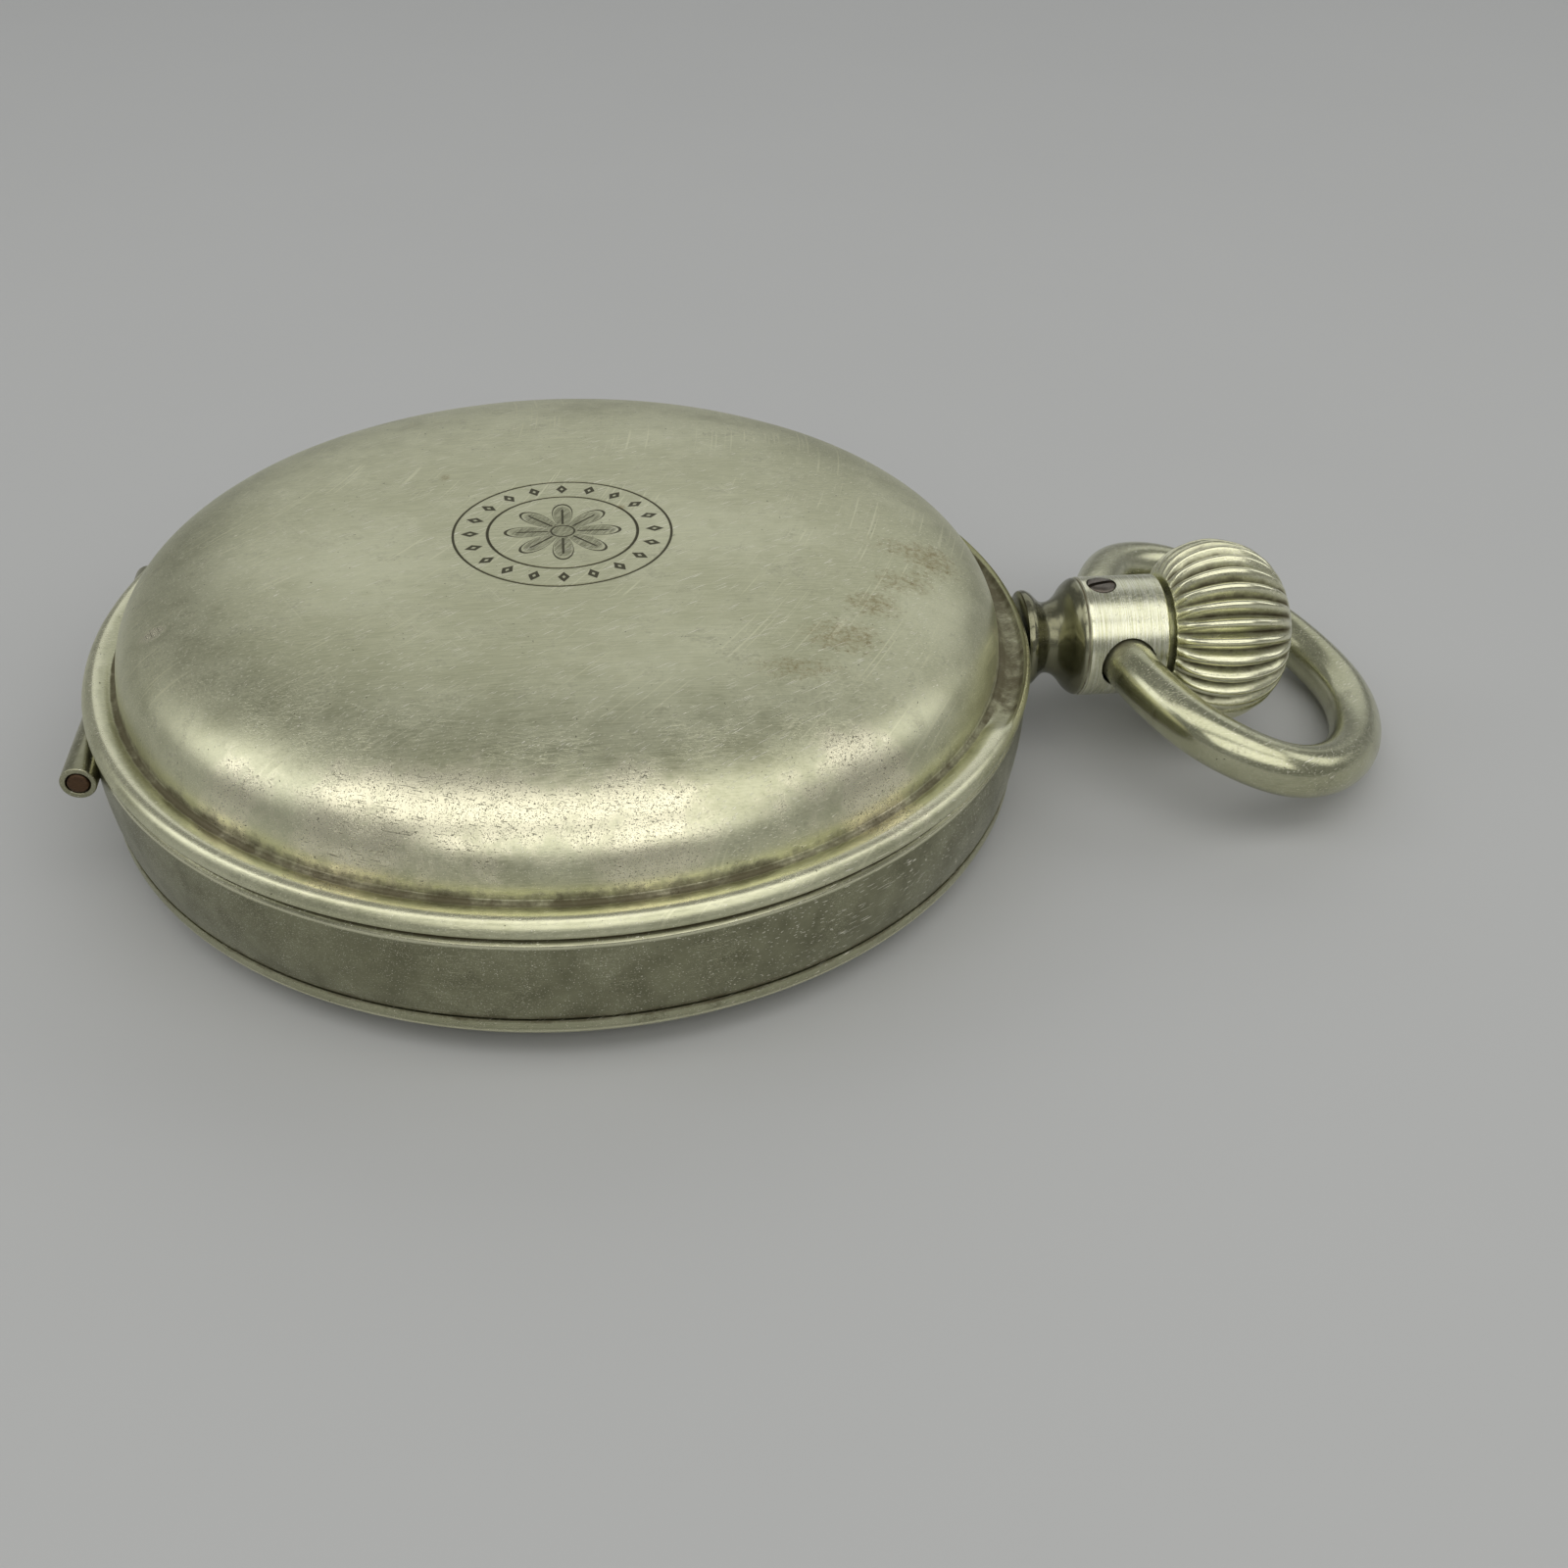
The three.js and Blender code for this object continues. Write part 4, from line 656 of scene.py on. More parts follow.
crown_grid, crest, groove_depth = crown_points(crown_line)
shown = smoothstep(0.02, 0.3, groove_depth)
crown_marks = {"grime_and_shade": (1 - crest) ** 0.75 * shown, "worn": crest**1.5 * shown + 0.4 * (1 - shown)}
crown = surface("crown_ribs", crown_grid, wrap_rows=False, marks=crown_marks, sharp_deg=60)
sleeve_line = rounded([[0.65, 31.25], [2.33, 31.25], [2.33, 34.1], [0.65, 34.1]], 0.08)
crown_sleeve = surface("crown_sleeve", turned(sleeve_line, 64, "x", (0, 0, STEM_Z)), wrap_rows=True)

# %% [markdown]
# ## Crystal and dial
# The other side has a thick glass, a white enamel dial and blued hands. The glass is nearly flat with
# a rounded shoulder. It is turned as one closed lens, so light bends through it as it should.

# %% Make the glass
glass_line = np.vstack([
    flowing([[0, 0], [6, 0], [13.2, 0.01], [15.5, 0.09], [18, 0.32], [20, 0.66], [21.1, 0.93]], 5),
    rounded([[21.1, 0.93], [21.62, 1.15], [21.62, 1.76], [21.2, 1.8]], 0.08, 4, closed=False)[1:],
    flowing([[21.0, 1.76], [19.5, 1.5], [17, 1.24], [13, 1.05], [8, 1.0], [0, 1.0]], 5),
])
glass_line[:, 1] = np.maximum(glass_line[:, 1], 0)
glass = surface("glass", turned(glass_line, 240))

# %% [markdown]
# The dial is copper sheet under enamel. A smaller circle for the seconds is sunk about a tenth of a
# millimetre, so its hand can run lower than the others.

# %% Make the dial plate, sunk for the seconds
dial_low, dial_high = box_mm("dial")
DIAL_FACE = dial_low[2]
DIAL_R = dial_high[1]
SECONDS_X = JOINT_AT["fourth_spin"][0]
SUNK = 0.09
dial_back = DIAL_FACE + 0.45
dial_corners = [[0.95, DIAL_FACE], [DIAL_R, DIAL_FACE], [DIAL_R, dial_back], [0.95, dial_back]]
dial_line = rounded(dial_corners, 0.06)
dial_front = evenly([[1.2, DIAL_FACE], [21.2, DIAL_FACE]], 110)
dial_line = np.vstack([dial_line[:5], dial_front, dial_line[5:]])


def sunk(points):
    """Pushes the face in by SUNK inside the seconds circle, over a short, soft step."""
    away = np.hypot(points[..., 0] - SECONDS_X, points[..., 1])
    face = points[..., 2] < DIAL_FACE + 0.02
    points[..., 2] += SUNK * smoothstep(4.75, 4.6, away) * face
    return points


dial = surface("dial_plate", sunk(turned(dial_line, 240)), wrap_rows=True)

# %% [markdown]
# The numerals are plain Roman ones, fired on slightly proud of the enamel. Each is a row of strokes,
# and each stroke is a slim bar with its own corners, so one array of corners makes every bar at once.

# %% Turn strokes into bars
def bars(name, starts, ends, wide, z_face, thick=0.02):
    """A slim box for each start and end point, standing thick proud of the dial face."""
    starts, ends, wide = np.array(starts, float), np.array(ends, float), np.array(wide, float)[:, None]
    along = ends - starts
    along /= np.linalg.norm(along, axis=1, keepdims=True)
    across = np.stack([-along[:, 1], along[:, 0]], 1) * wide / 2
    flat = np.stack([starts - across, ends - across, ends + across, starts + across], 1)
    z_low = np.full(flat.shape[:2] + (1,), z_face - thick)
    low = np.concatenate([flat, z_low], -1)
    high = np.concatenate([flat, z_low + 2 * thick], -1)
    points = np.concatenate([low, high], 1).reshape(-1, 3)
    first = np.arange(len(starts))[:, None, None] * 8
    box = [[0, 1, 2, 3], [7, 6, 5, 4], [0, 4, 5, 1], [1, 5, 6, 2], [2, 6, 7, 3], [3, 7, 4, 0]]
    faces = first + np.array(box)
    return mesh_piece(name, points, faces.reshape(-1, 4), sharp_deg=30)


# %% [markdown]
# Each letter is drawn in a box one unit high, with thick and thin strokes as a pen makes them. A
# fine serif line runs along the foot and the head of the whole numeral.

# %% Draw the letters
LETTER_WIDE = {"I": 0.85, "V": 1.5, "X": 1.6}
LETTER_STROKES = {  # from, to and width, with the letter between 0 and 1 up and its own width across
    "I": [((0.5, 0), (0.5, 1), 0.34)],
    "V": [((0.14, 1), (0.5, 0), 0.36), ((0.86, 1), (0.5, 0), 0.13)],
    "X": [((0.14, 1), (0.86, 0), 0.36), ((0.86, 1), (0.14, 0), 0.13)],
}


def numeral_strokes(word, tall):
    """Strokes of one numeral in its own plane, centred across, with a serif line at foot and head."""
    total = sum(LETTER_WIDE[letter] for letter in word)
    left, strokes = -total / 2, []
    for letter in word:
        wide = LETTER_WIDE[letter]
        for start, end, thick in LETTER_STROKES[letter]:
            at = [(left + s[0] * wide, (s[1] - 0.5) * tall) for s in (start, end)]
            strokes.append((*at, thick))
        left += wide
    for height in (-tall / 2, tall / 2):
        strokes.append(((-total / 2 + 0.1, height), (total / 2 - 0.1, height), 0.1))
    return strokes


# %% [markdown]
# A numeral is turned so that its head points outwards, as dials of this age have it. The six gives way
# to the seconds circle. The minute marks are drawn with the same bars, longer and thicker each fifth.

# %% Set the numerals and minute marks round the dial
NUMERALS = ["XII", "I", "II", "III", "IIII", "V", "VI", "VII", "VIII", "IX", "X", "XI"]
NUMERAL_R, NUMERAL_TALL = 16.3, 3.3


def place(points, bearing, radius):
    """Turns a numeral's plane so its head points outwards at a bearing, as read from below."""
    a = math.radians(bearing)
    out, right = np.array([math.cos(a), math.sin(a)]), np.array([-math.sin(a), math.cos(a)])
    return [tuple(radius * out + p[0] * right + p[1] * out) for p in points]


def dial_strokes():
    """Start, end and width of every stroke: the numerals at NUMERAL_R, then the sixty marks."""
    strokes = []
    for hour, word in enumerate(NUMERALS):
        if word == "VI":
            continue
        for start, end, thick in numeral_strokes(word, NUMERAL_TALL):
            strokes.append((*place([start, end], hour * 30, NUMERAL_R), thick))
    for minute in range(60):
        fifth = minute % 5 == 0
        inner, outer = (18.75, 20.05) if fifth else (18.95, 19.85)
        ends = place([(0, inner), (0, outer)], minute * 6, 0)
        strokes.append((*ends, 0.26 if fifth else 0.1))
    return zip(*strokes)


numerals = bars("numerals", *dial_strokes(), DIAL_FACE)
print("dial strokes", len(numerals.data.vertices) // 8)

# %% [markdown]
# Two fine rings bound the minute marks and a third bounds the seconds, all turned as thin flat rings.
# The seconds marks stand on the sunk face, so they start lower than the rest.

# %% Turn the tracks and mark the seconds
def track_ring(name, r, wide, centre, z_face):
    """A thin raised ring, a small closed rectangle turned about the dial's axis."""
    low, high = z_face - 0.02, z_face + 0.02
    inner, outer = r - wide / 2, r + wide / 2
    line = np.array([[inner, low], [outer, low], [outer, high], [inner, high]])
    return surface(name, turned(line, 180, "z", centre), wrap_rows=True, sharp_deg=30)


SECONDS_R = 4.1
tracks = [
    track_ring("track_outer", 19.95, 0.07, (0, 0, 0), DIAL_FACE),
    track_ring("track_inner", 18.9, 0.07, (0, 0, 0), DIAL_FACE),
    track_ring("seconds_track", SECONDS_R, 0.06, (SECONDS_X, 0, 0), DIAL_FACE + SUNK),
]
ticks = np.radians(np.arange(0, 360, 6))
long_tick = np.arange(60) % 5 == 0
tick_in = np.where(long_tick, 3.25, 3.65)[:, None]
tick_dir = np.stack([np.cos(ticks), np.sin(ticks)], 1)
seconds_at = np.array([SECONDS_X, 0.0])
tick_wide = np.where(long_tick, 0.12, 0.06)
tick_start, tick_end = seconds_at + tick_dir * tick_in, seconds_at + tick_dir * SECONDS_R
seconds_ticks = bars("seconds_ticks", tick_start, tick_end, tick_wide, DIAL_FACE + SUNK)

# %% [markdown]
# ## Shader arithmetic
# A finish mixes many masks. Writing them as sums and products reads better than dozens of node lines,
# so a small class wraps a node's output and turns Python operators into Math nodes.

# %% A wire that can be added and multiplied
class Wire:
    """One output of a node. Sums, products and powers of wires add Math nodes to the same finish."""

    def __init__(self, finish, socket):
        self.finish, self.socket = finish, socket

    def math(self, operation, *values):
        return self.finish.node("ShaderNodeMath", {"operation": operation}, values)

    def __add__(self, other):
        return self.math("ADD", self, other)

    def __sub__(self, other):
        return self.math("SUBTRACT", self, other)

    def __rsub__(self, other):
        return self.math("SUBTRACT", other, self)

    def __mul__(self, other):
        return self.math("MULTIPLY", self, other)

    def __truediv__(self, other):
        return self.math("DIVIDE", self, other)

    def __pow__(self, other):
        return self.math("POWER", self, other)

    def __abs__(self):
        return self.math("ABSOLUTE", self)

    __radd__, __rmul__ = __add__, __mul__


# %% [markdown]
# A finish is one material being built. All kinds of node are added by one method, which takes the
# type, its settings, and values or wires for its sockets. Whatever is constant over a surface is set
# on the shader itself. Object coordinates are scaled to millimetres, so noise sizes are real sizes.

# %% A finish and the nodes it is made of
class Finish:
    """A material under construction, with the few kinds of node that the finishes here share."""

    def __init__(self, name):
        self.material = bpy.data.materials.new(name)
        self.material.use_nodes = True
        self.tree = self.material.node_tree
        self.tree.nodes.clear()
        coordinates = self.node("ShaderNodeTexCoord", output="Object")
        to_mm = {"Vector": coordinates, "Scale": 1 / MM}
        self.at = self.node("ShaderNodeVectorMath", {"operation": "SCALE"}, to_mm)
        parts = [self.node("ShaderNodeSeparateXYZ", {}, [self.at], output=i) for i in range(3)]
        self.x, self.y, self.z = parts

    def node(self, kind, settings=None, inputs=None, output=0):
        """Adds a node, sets it up, feeds its sockets with values or wires, and gives one output."""
        made = self.tree.nodes.new(kind)
        for key, value in (settings or {}).items():
            setattr(made, key, value)
        pairs = inputs.items() if isinstance(inputs, dict) else enumerate(inputs or [])
        for key, value in pairs:
            if isinstance(value, Wire):
                self.tree.links.new(value.socket, made.inputs[key])
            else:
                made.inputs[key].default_value = value
        return Wire(self, made.outputs[output]) if len(made.outputs) else made

    def mark(self, name):
        """A value carried by the mesh's own points."""
        return self.node("ShaderNodeAttribute", {"attribute_name": name}, output="Fac")

    def smooth(self, value, low, high):
        """0 to 1 as value goes from low to high."""
        kind = {"interpolation_type": "SMOOTHSTEP"}
        values = {"Value": value, "From Min": low, "From Max": high}
        return self.node("ShaderNodeMapRange", kind, values)

    def blend(self, share, a, b):
        """Colour a where share is 0 and b where it is 1."""
        return self.node("ShaderNodeMix", {"data_type": "RGBA"}, {0: share, 6: a, 7: b}, output=2)

    def stretched(self, length, width, bearing=0.0, seed=0, tall=None):
        """Object coordinates turned to a bearing and squeezed, so noise on them becomes streaks."""
        settings = {"vector_type": "TEXTURE"}
        values = {"Vector": self.at, "Location": (seed * 7.3, seed * 3.1, seed * 1.7),
                  "Rotation": (0, 0, math.radians(bearing)), "Scale": (length, width, tall or width)}
        return self.node("ShaderNodeMapping", settings, values)

    def noise(self, vector, scale=1.0, detail=2.0, rough=0.5):
        values = {"Vector": vector, "Scale": scale, "Detail": detail, "Roughness": rough}
        return self.node("ShaderNodeTexNoise", {}, values)

    def arcs(self, centre, length, width, seed=0):
        """Streaks that run along circles round a centre: noise on (radius, arc length, height)."""
        dx, dy = self.x - centre[0], self.y - centre[1]
        radius = (dx * dx + dy * dy) ** 0.5
        angle = self.node("ShaderNodeMath", {"operation": "ARCTAN2"}, [dy, dx])
        values = [radius / width + seed * 9.1, angle * (20 / length), self.z * 0.2]
        return self.noise(self.node("ShaderNodeCombineXYZ", {}, values), 1.0, 1.5)

    def bump(self, height, distance_mm, normal=None):
        """A Bump node whose full height is distance_mm."""
        values = {"Strength": 1.0, "Distance": distance_mm * MM, "Height": height}
        if normal is not None:
            values["Normal"] = normal
        return self.node("ShaderNodeBump", {}, values, output="Normal")

    def close(self, **sockets):
        """Adds the Principled shader and the output, and gives the finished material."""
        values = {key.replace("_", " "): value for key, value in sockets.items()}
        shader = self.node("ShaderNodeBsdfPrincipled", {}, values)
        self.node("ShaderNodeOutputMaterial", {}, [shader])
        return self.material


# %% [markdown]
# ## Worn nickel silver
# The case is a copper, nickel and zinc alloy that yellows to a greenish olive and polishes back to pale
# cream where it is rubbed. The finish layers, from slow to fine: drifting tarnish, a satin grain, long
# hairlines in several directions, short bright scratches whose brightness is partly painted glint,
# pin-point pits, and dirt packed where the mesh's grime mark says so, which on the recess floor is
# partly painted shade, with a ragged edge made by noise.

# %% Choose the colours and scratch the metal
OLIVE = (0.48, 0.485, 0.315, 1)
PALE = (0.64, 0.645, 0.45, 1)
CREAM = (0.86, 0.845, 0.61, 1)
BARE_METAL_AND_GLINT = (1.0, 0.97, 0.82, 1)
RUBBED_CREAM = (0.98, 0.93, 0.70, 1)
TARNISH_AND_SHADE = (0.21, 0.208, 0.13, 1)
DIRT_AND_SHADE = (0.075, 0.057, 0.02, 1)
RUST = (0.27, 0.18, 0.055, 1)
DARK_PIT = (0.05, 0.045, 0.03, 1)
FRECKLE = (0.09, 0.065, 0.025, 1)
ENGRAVED = (0.055, 0.05, 0.03, 1)


def scratch_masks(f, density):
    """Four families of hairlines and one of short nicks: thin slices of stretched noise, broken up."""
    broken = f.smooth(f.noise(f.at, 0.35, 2), 0.42, 0.62)
    families = [(8, 14, 0.055), (-17, 9, 0.05), (64, 7, 0.05), (118, 8, 0.06)]
    fine = 0.0
    for seed, (bearing, length, width) in enumerate(families):
        streak = f.noise(f.stretched(length, width, bearing, seed + 1), 1.0, 1.0)
        fine = f.smooth(streak, 0.62 - density, 0.71 - density) * (0.55 if seed < 2 else 0.4) + fine
    nick_field = f.noise(f.stretched(1.4, 0.045, 34, 9), 1.0, 0.5)
    nicks_and_glints = f.smooth(nick_field, 0.70, 0.74)
    return fine * broken, nicks_and_glints


# %% [markdown]
# Each layer is mixed over the last by its own mask. The same masks change the gloss and the height, so
# a scratch is brighter, smoother and lower all at once; its brighter colour is partly fresh metal and
# partly painted glint.

# %% Build the case finish
def case_finish(name, tarnish=0.5, grain=0, density=0.0, extras=None, deep=0.0, gloss=0.0, tall=None):
    """Worn nickel silver. deep darkens it towards the tarnish colour, as painted shade on the band and the bow,
    gloss smooths it, and extras adds one piece's own marks.
    """
    f = Finish(name)
    drift = f.noise(f.at, 0.09, 4, 0.6)
    cloud = f.noise(f.at, 0.55, 4, 0.62)
    satin = f.noise(f.stretched(1.6, 0.07, grain, 4, tall), 1.0, 3, 0.6)
    speckle = f.noise(f.at, 5.5, 3, 0.6)
    hair, nicks_and_glints = scratch_masks(f, density)
    worn = f.smooth(f.mark("worn") + (cloud - 0.5) * 0.9, 0.25, 1.0)
    colour = f.blend(f.smooth(drift + (cloud - 0.5) * 0.6, 0.36, 0.66), OLIVE, PALE)
    colour = f.blend(f.smooth(cloud * 0.7 + speckle * 0.3, 0.53, 0.70) * tarnish, colour, TARNISH_AND_SHADE)
    colour = f.blend(f.smooth(satin, 0.28, 0.72) * 0.42, colour, CREAM)
    # deep mixes towards the tarnish colour; on the band and the bow this is painted shade for a dark reflection.
    colour = f.blend(deep + (cloud - 0.5) * deep, colour, TARNISH_AND_SHADE) if deep else colour
    colour = f.blend(worn * 0.75, colour, CREAM)
    # Hairlines and nicks mixed towards cream and bare metal are partly fresh metal and partly painted glint.
    colour = f.blend(hair * 0.6, colour, CREAM)
    colour = f.blend(nicks_and_glints * 0.9, colour, BARE_METAL_AND_GLINT)
    pits = f.smooth(f.noise(f.at, 4.2, 2, 0.7), 0.72, 0.75)
    colour = f.blend(pits * 0.8, colour, DARK_PIT)
    rough = 0.39 - gloss + (cloud - 0.5) * 0.16 + (satin - 0.5) * 0.14
    rough = rough - worn * 0.10 - hair * 0.06 + pits * 0.2
    height = satin * 0.5 + hair * -0.9 + nicks_and_glints * -1.6 + pits * -2.0 + speckle * 0.35
    if extras:
        colour, rough, height = extras(f, colour, rough, height)
    grime_and_shade = f.mark("grime_and_shade")
    patchy = (f.noise(f.at, 1.1, 5, 0.7) - 0.5) * 1.5 + (f.noise(f.at, 0.2, 2) - 0.5) * 1.2
    ragged = grime_and_shade * 1.1 + patchy
    dirt_and_shade = f.smooth(ragged, 0.3, 1.25) * f.smooth(grime_and_shade, 0.02, 0.35)
    colour = f.blend(dirt_and_shade * 0.88, colour, DIRT_AND_SHADE)
    rough = rough + dirt_and_shade * 0.34
    metal = 1.0 - dirt_and_shade * 0.6
    return f.close(Base_Color=colour, Metallic=metal, Roughness=rough,
                   Normal=f.bump(height, 0.0045), Specular_IOR_Level=0.5)


# %% [markdown]
# Only the dome has the maker's ornament, the rubbed cream patches on its shoulder, rust-brown freckles
# towards the pendant, and a few long scratches. Each stain and rubbed patch is a soft oval, broken up
# later by noise.

# %% Place the dome's stains and rubbed patches
STAINS = [  # x, y, reach along, reach across, strength
    (19.6, -2.2, 2.0, 1.9, 0.9),
    (17.6, -5.2, 2.0, 1.3, 0.75),
    (15.6, -7.6, 1.7, 1.2, 0.85),
    (13.6, -10.6, 2.3, 1.5, 0.85),
    (11.0, -13.3, 2.8, 1.0, 0.7),
    (16.8, -1.2, 1.8, 1.2, 0.4),
    (-6.5, 6.9, 0.3, 0.4, 0.9),
    (3.2, 2.6, 0.28, 0.4, 0.9),
]
RUBBED = [  # x, y, reach, strength: patches where the shoulder has been polished by cloth
    (-9.5, -20.3, 4.0, 0.9),
    (-3.5, -21.3, 3.4, 0.9),
    (3.2, -21.9, 3.8, 0.9),
    (9.6, -20.6, 2.0, 0.5),
    (14.0, -18.6, 3.2, 1.0),
    (-15.5, -17.2, 2.6, 0.8),
    (-20.6, -5.8, 0.9, 0.7),
    (22.9, -5.5, 1.6, 0.5),
]


def spot(f, x, y, along, across):
    """1 in the middle of a soft oval and 0 outside: 1 - smooth of the scaled distance."""
    dx, dy = (f.x - x) / along, (f.y - y) / across
    return 1 - f.smooth((dx * dx + dy * dy) ** 0.5, 0.2, 1.6)


# %% [markdown]
# The ornament is a plain one: two ring lines, a chain of lozenges between them and an eight-petalled
# rosette. It is drawn from the radius and the bearing of each point, so its lines stay crisp.

# %% Draw the ornament
def line_at(f, value, half_width):
    """1 where value passes through 0, falling to 0 at half_width."""
    return 1 - f.smooth(abs(value), half_width * 0.35, half_width)


def ornament(f, radius, bearing):
    """Ring lines, lozenges (|radius offset| + |bearing offset| = const) and petals (radius = |cos|)."""
    lines = line_at(f, radius - RING_LINES[0], 0.1) + line_at(f, radius - RING_LINES[1], 0.085)
    fold = {"operation": "PINGPONG"}
    cell = f.node("ShaderNodeMath", fold, [bearing, math.pi / 20]) * 4.9
    lozenge = abs(radius - 4.9) * 0.62 + cell
    lines = (1 - f.smooth(lozenge, 0.28, 0.34)) * f.smooth(lozenge, 0.08, 0.12) + lines
    petal = abs(f.node("ShaderNodeMath", {"operation": "COSINE"}, [bearing * 4])) ** 0.55 * 3.05
    lines = line_at(f, radius - petal, 0.11) + lines
    shade = f.smooth(petal - radius, 0.0, 0.4) * f.noise(f.stretched(0.9, 0.05, 60, 8), 1.0, 1)
    lines = shade * 0.75 + lines
    vein = line_at(f, f.node("ShaderNodeMath", fold, [bearing, math.pi / 8]) * radius, 0.075)
    lines = vein * f.smooth(radius, 0.75, 0.85) * f.smooth(radius, 2.6, 2.2) * 0.8 + lines
    lines = line_at(f, radius - 0.62, 0.06) + lines
    top = f.smooth(f.z, DOME_TOP - 0.4, DOME_TOP - 0.25)
    return f.smooth(lines, 0.1, 0.8) * top


# %% [markdown]
# The rubbed patches go on first, pitted and scored with dark lines; then the arcs that a cloth leaves,
# the stains with their freckles, and last the engraved lines, which are cut and filled with dirt.

# %% Layer the dome's own marks
def dome_extras(f, colour, rough, height):
    """Adds rubbed patches, stains, long scratches and the ornament to the case finish."""
    outer = f.smooth(f.z, 7.7, 8.2)
    radius = (f.x * f.x + f.y * f.y) ** 0.5
    bearing = f.node("ShaderNodeMath", {"operation": "ARCTAN2"}, [f.y, f.x])
    rubbed = 0.0
    for x, y, reach, strength in RUBBED:
        rubbed = spot(f, x, y, reach, reach * 0.72) * strength + rubbed
    eaten = f.noise(f.at, 0.8, 5, 0.68)
    rubbed = f.smooth(rubbed + (eaten - 0.5) * 1.5, 0.35, 0.95) * outer
    colour = f.blend(rubbed * 0.85, colour, RUBBED_CREAM)
    rough = rough - rubbed * 0.08
    pitted = f.smooth(f.noise(f.at, 6.5, 2, 0.7), 0.64, 0.69) * rubbed
    scored = 0.0
    for seed, (lean, length) in enumerate([(112, 1.6), (62, 1.2), (158, 0.9)]):
        cut = f.noise(f.stretched(length, 0.05, lean, 13 + seed), 1.0, 1)
        scored = f.smooth(cut, 0.66, 0.72) + scored
    scored = scored * f.smooth(rubbed + (eaten - 0.5), 0.2, 0.8)
    colour = f.blend(pitted * 0.7 + scored * 0.75, colour, DARK_PIT)
    swirl = f.smooth(f.arcs((-30, 16), 5, 0.14, 2), 0.61, 0.69)
    swirl = swirl * f.smooth(f.noise(f.at, 0.22, 1), 0.48, 0.6)
    colour = f.blend(swirl * outer * 0.5, colour, CREAM)
    stain = 0.0
    for x, y, along, across, strength in STAINS:
        stain = spot(f, x, y, along, across) * strength + stain
    freckled = f.noise(f.at, 3.0, 5, 0.8)
    near = f.smooth(stain, 0.02, 0.5) * outer
    stain = f.smooth(stain * 0.8 + (freckled - 0.5) * 2.6, 0.2, 1.25) * near
    colour = f.blend(stain * 0.62, colour, RUST)
    colour = f.blend(f.smooth(freckled, 0.6, 0.72) * near * 0.5, colour, FRECKLE)
    rough = rough + stain * 0.2
    lines = ornament(f, radius, bearing)
    colour = f.blend(lines * 0.88, colour, ENGRAVED)
    rough = rough + lines * 0.25
    height = height + lines * -6.0 + pitted * -2.0 + scored * -2.5
    return colour, rough, height


# %% [markdown]
# The same metal looks different on each part: the band is dull and dark, its colour darkened past its
# tarnish by painted shade standing in for a dark reflection; the bow and the crown are polished by
# fingers, the bow's colour also darkened a little by the same painted shade; and the neck's cylinder
# keeps the lathe's brushing round it, its bright streaks partly painted highlight.

# %% Make the case finishes
def neck_extras(f, colour, rough, height):
    """Darkens the pendant's throat and bell, and brightens the brushed cylinder beyond them with streaks that are
    partly brushing and partly painted highlight.
    """
    bell = f.smooth(f.x, 29.15, 28.75)
    colour = f.blend(bell * 0.85, colour, (0.15, 0.145, 0.09, 1))
    brushing_and_sheen = f.noise(f.stretched(2.4, 0.05, 90, 21, 2.4), 1.0, 2, 0.6)
    # The near-white streaks on the cylinder are partly brushing and partly painted highlight.
    colour = f.blend((1 - bell) * f.smooth(brushing_and_sheen, 0.4, 0.65) * 0.7, colour, (0.93, 0.93, 0.80, 1))
    rough = rough - bell * 0.06 + (brushing_and_sheen - 0.5) * 0.25 * (1 - bell)
    return colour, rough, height + brushing_and_sheen * 1.2 * (1 - bell)


dome_metal = case_finish("dome_nickel_silver", 0.45, 3, 0.015, dome_extras, gloss=0.02)
# The band's deep=0.85 and heavy tarnish are partly tarnish and partly painted shade for a dark reflection.
band_metal_painted_dark = case_finish("band_nickel_silver_painted_dark", 0.85, 0, -0.01, deep=0.85, gloss=0.05)
bezel_metal = case_finish("bezel_nickel_silver", 0.8, 0, -0.01, deep=0.4, gloss=0.05)
neck_metal = case_finish("neck_nickel_silver", 0.5, 90, 0.01, neck_extras, gloss=0.13, tall=1.6)
crown_metal = case_finish("crown_nickel_silver", 0.2, 0, 0.0, gloss=0.1)
# The bow's deep=0.22 is painted shade for its dark underside, on top of its tarnish.
bow_metal_painted_dark = case_finish("bow_nickel_silver_painted_dark", 0.7, 0, -0.01, deep=0.22, gloss=0.17)
print("case finishes made")

# %% [markdown]
# ## Other metals
# The pin and the screw have gone brown with age. Inside, wheels are gilt and brushed, steel parts are
# polished with faint rings, and the hands and hairspring are heat-blued. One function makes all of
# them, since they differ only in colour and grain.

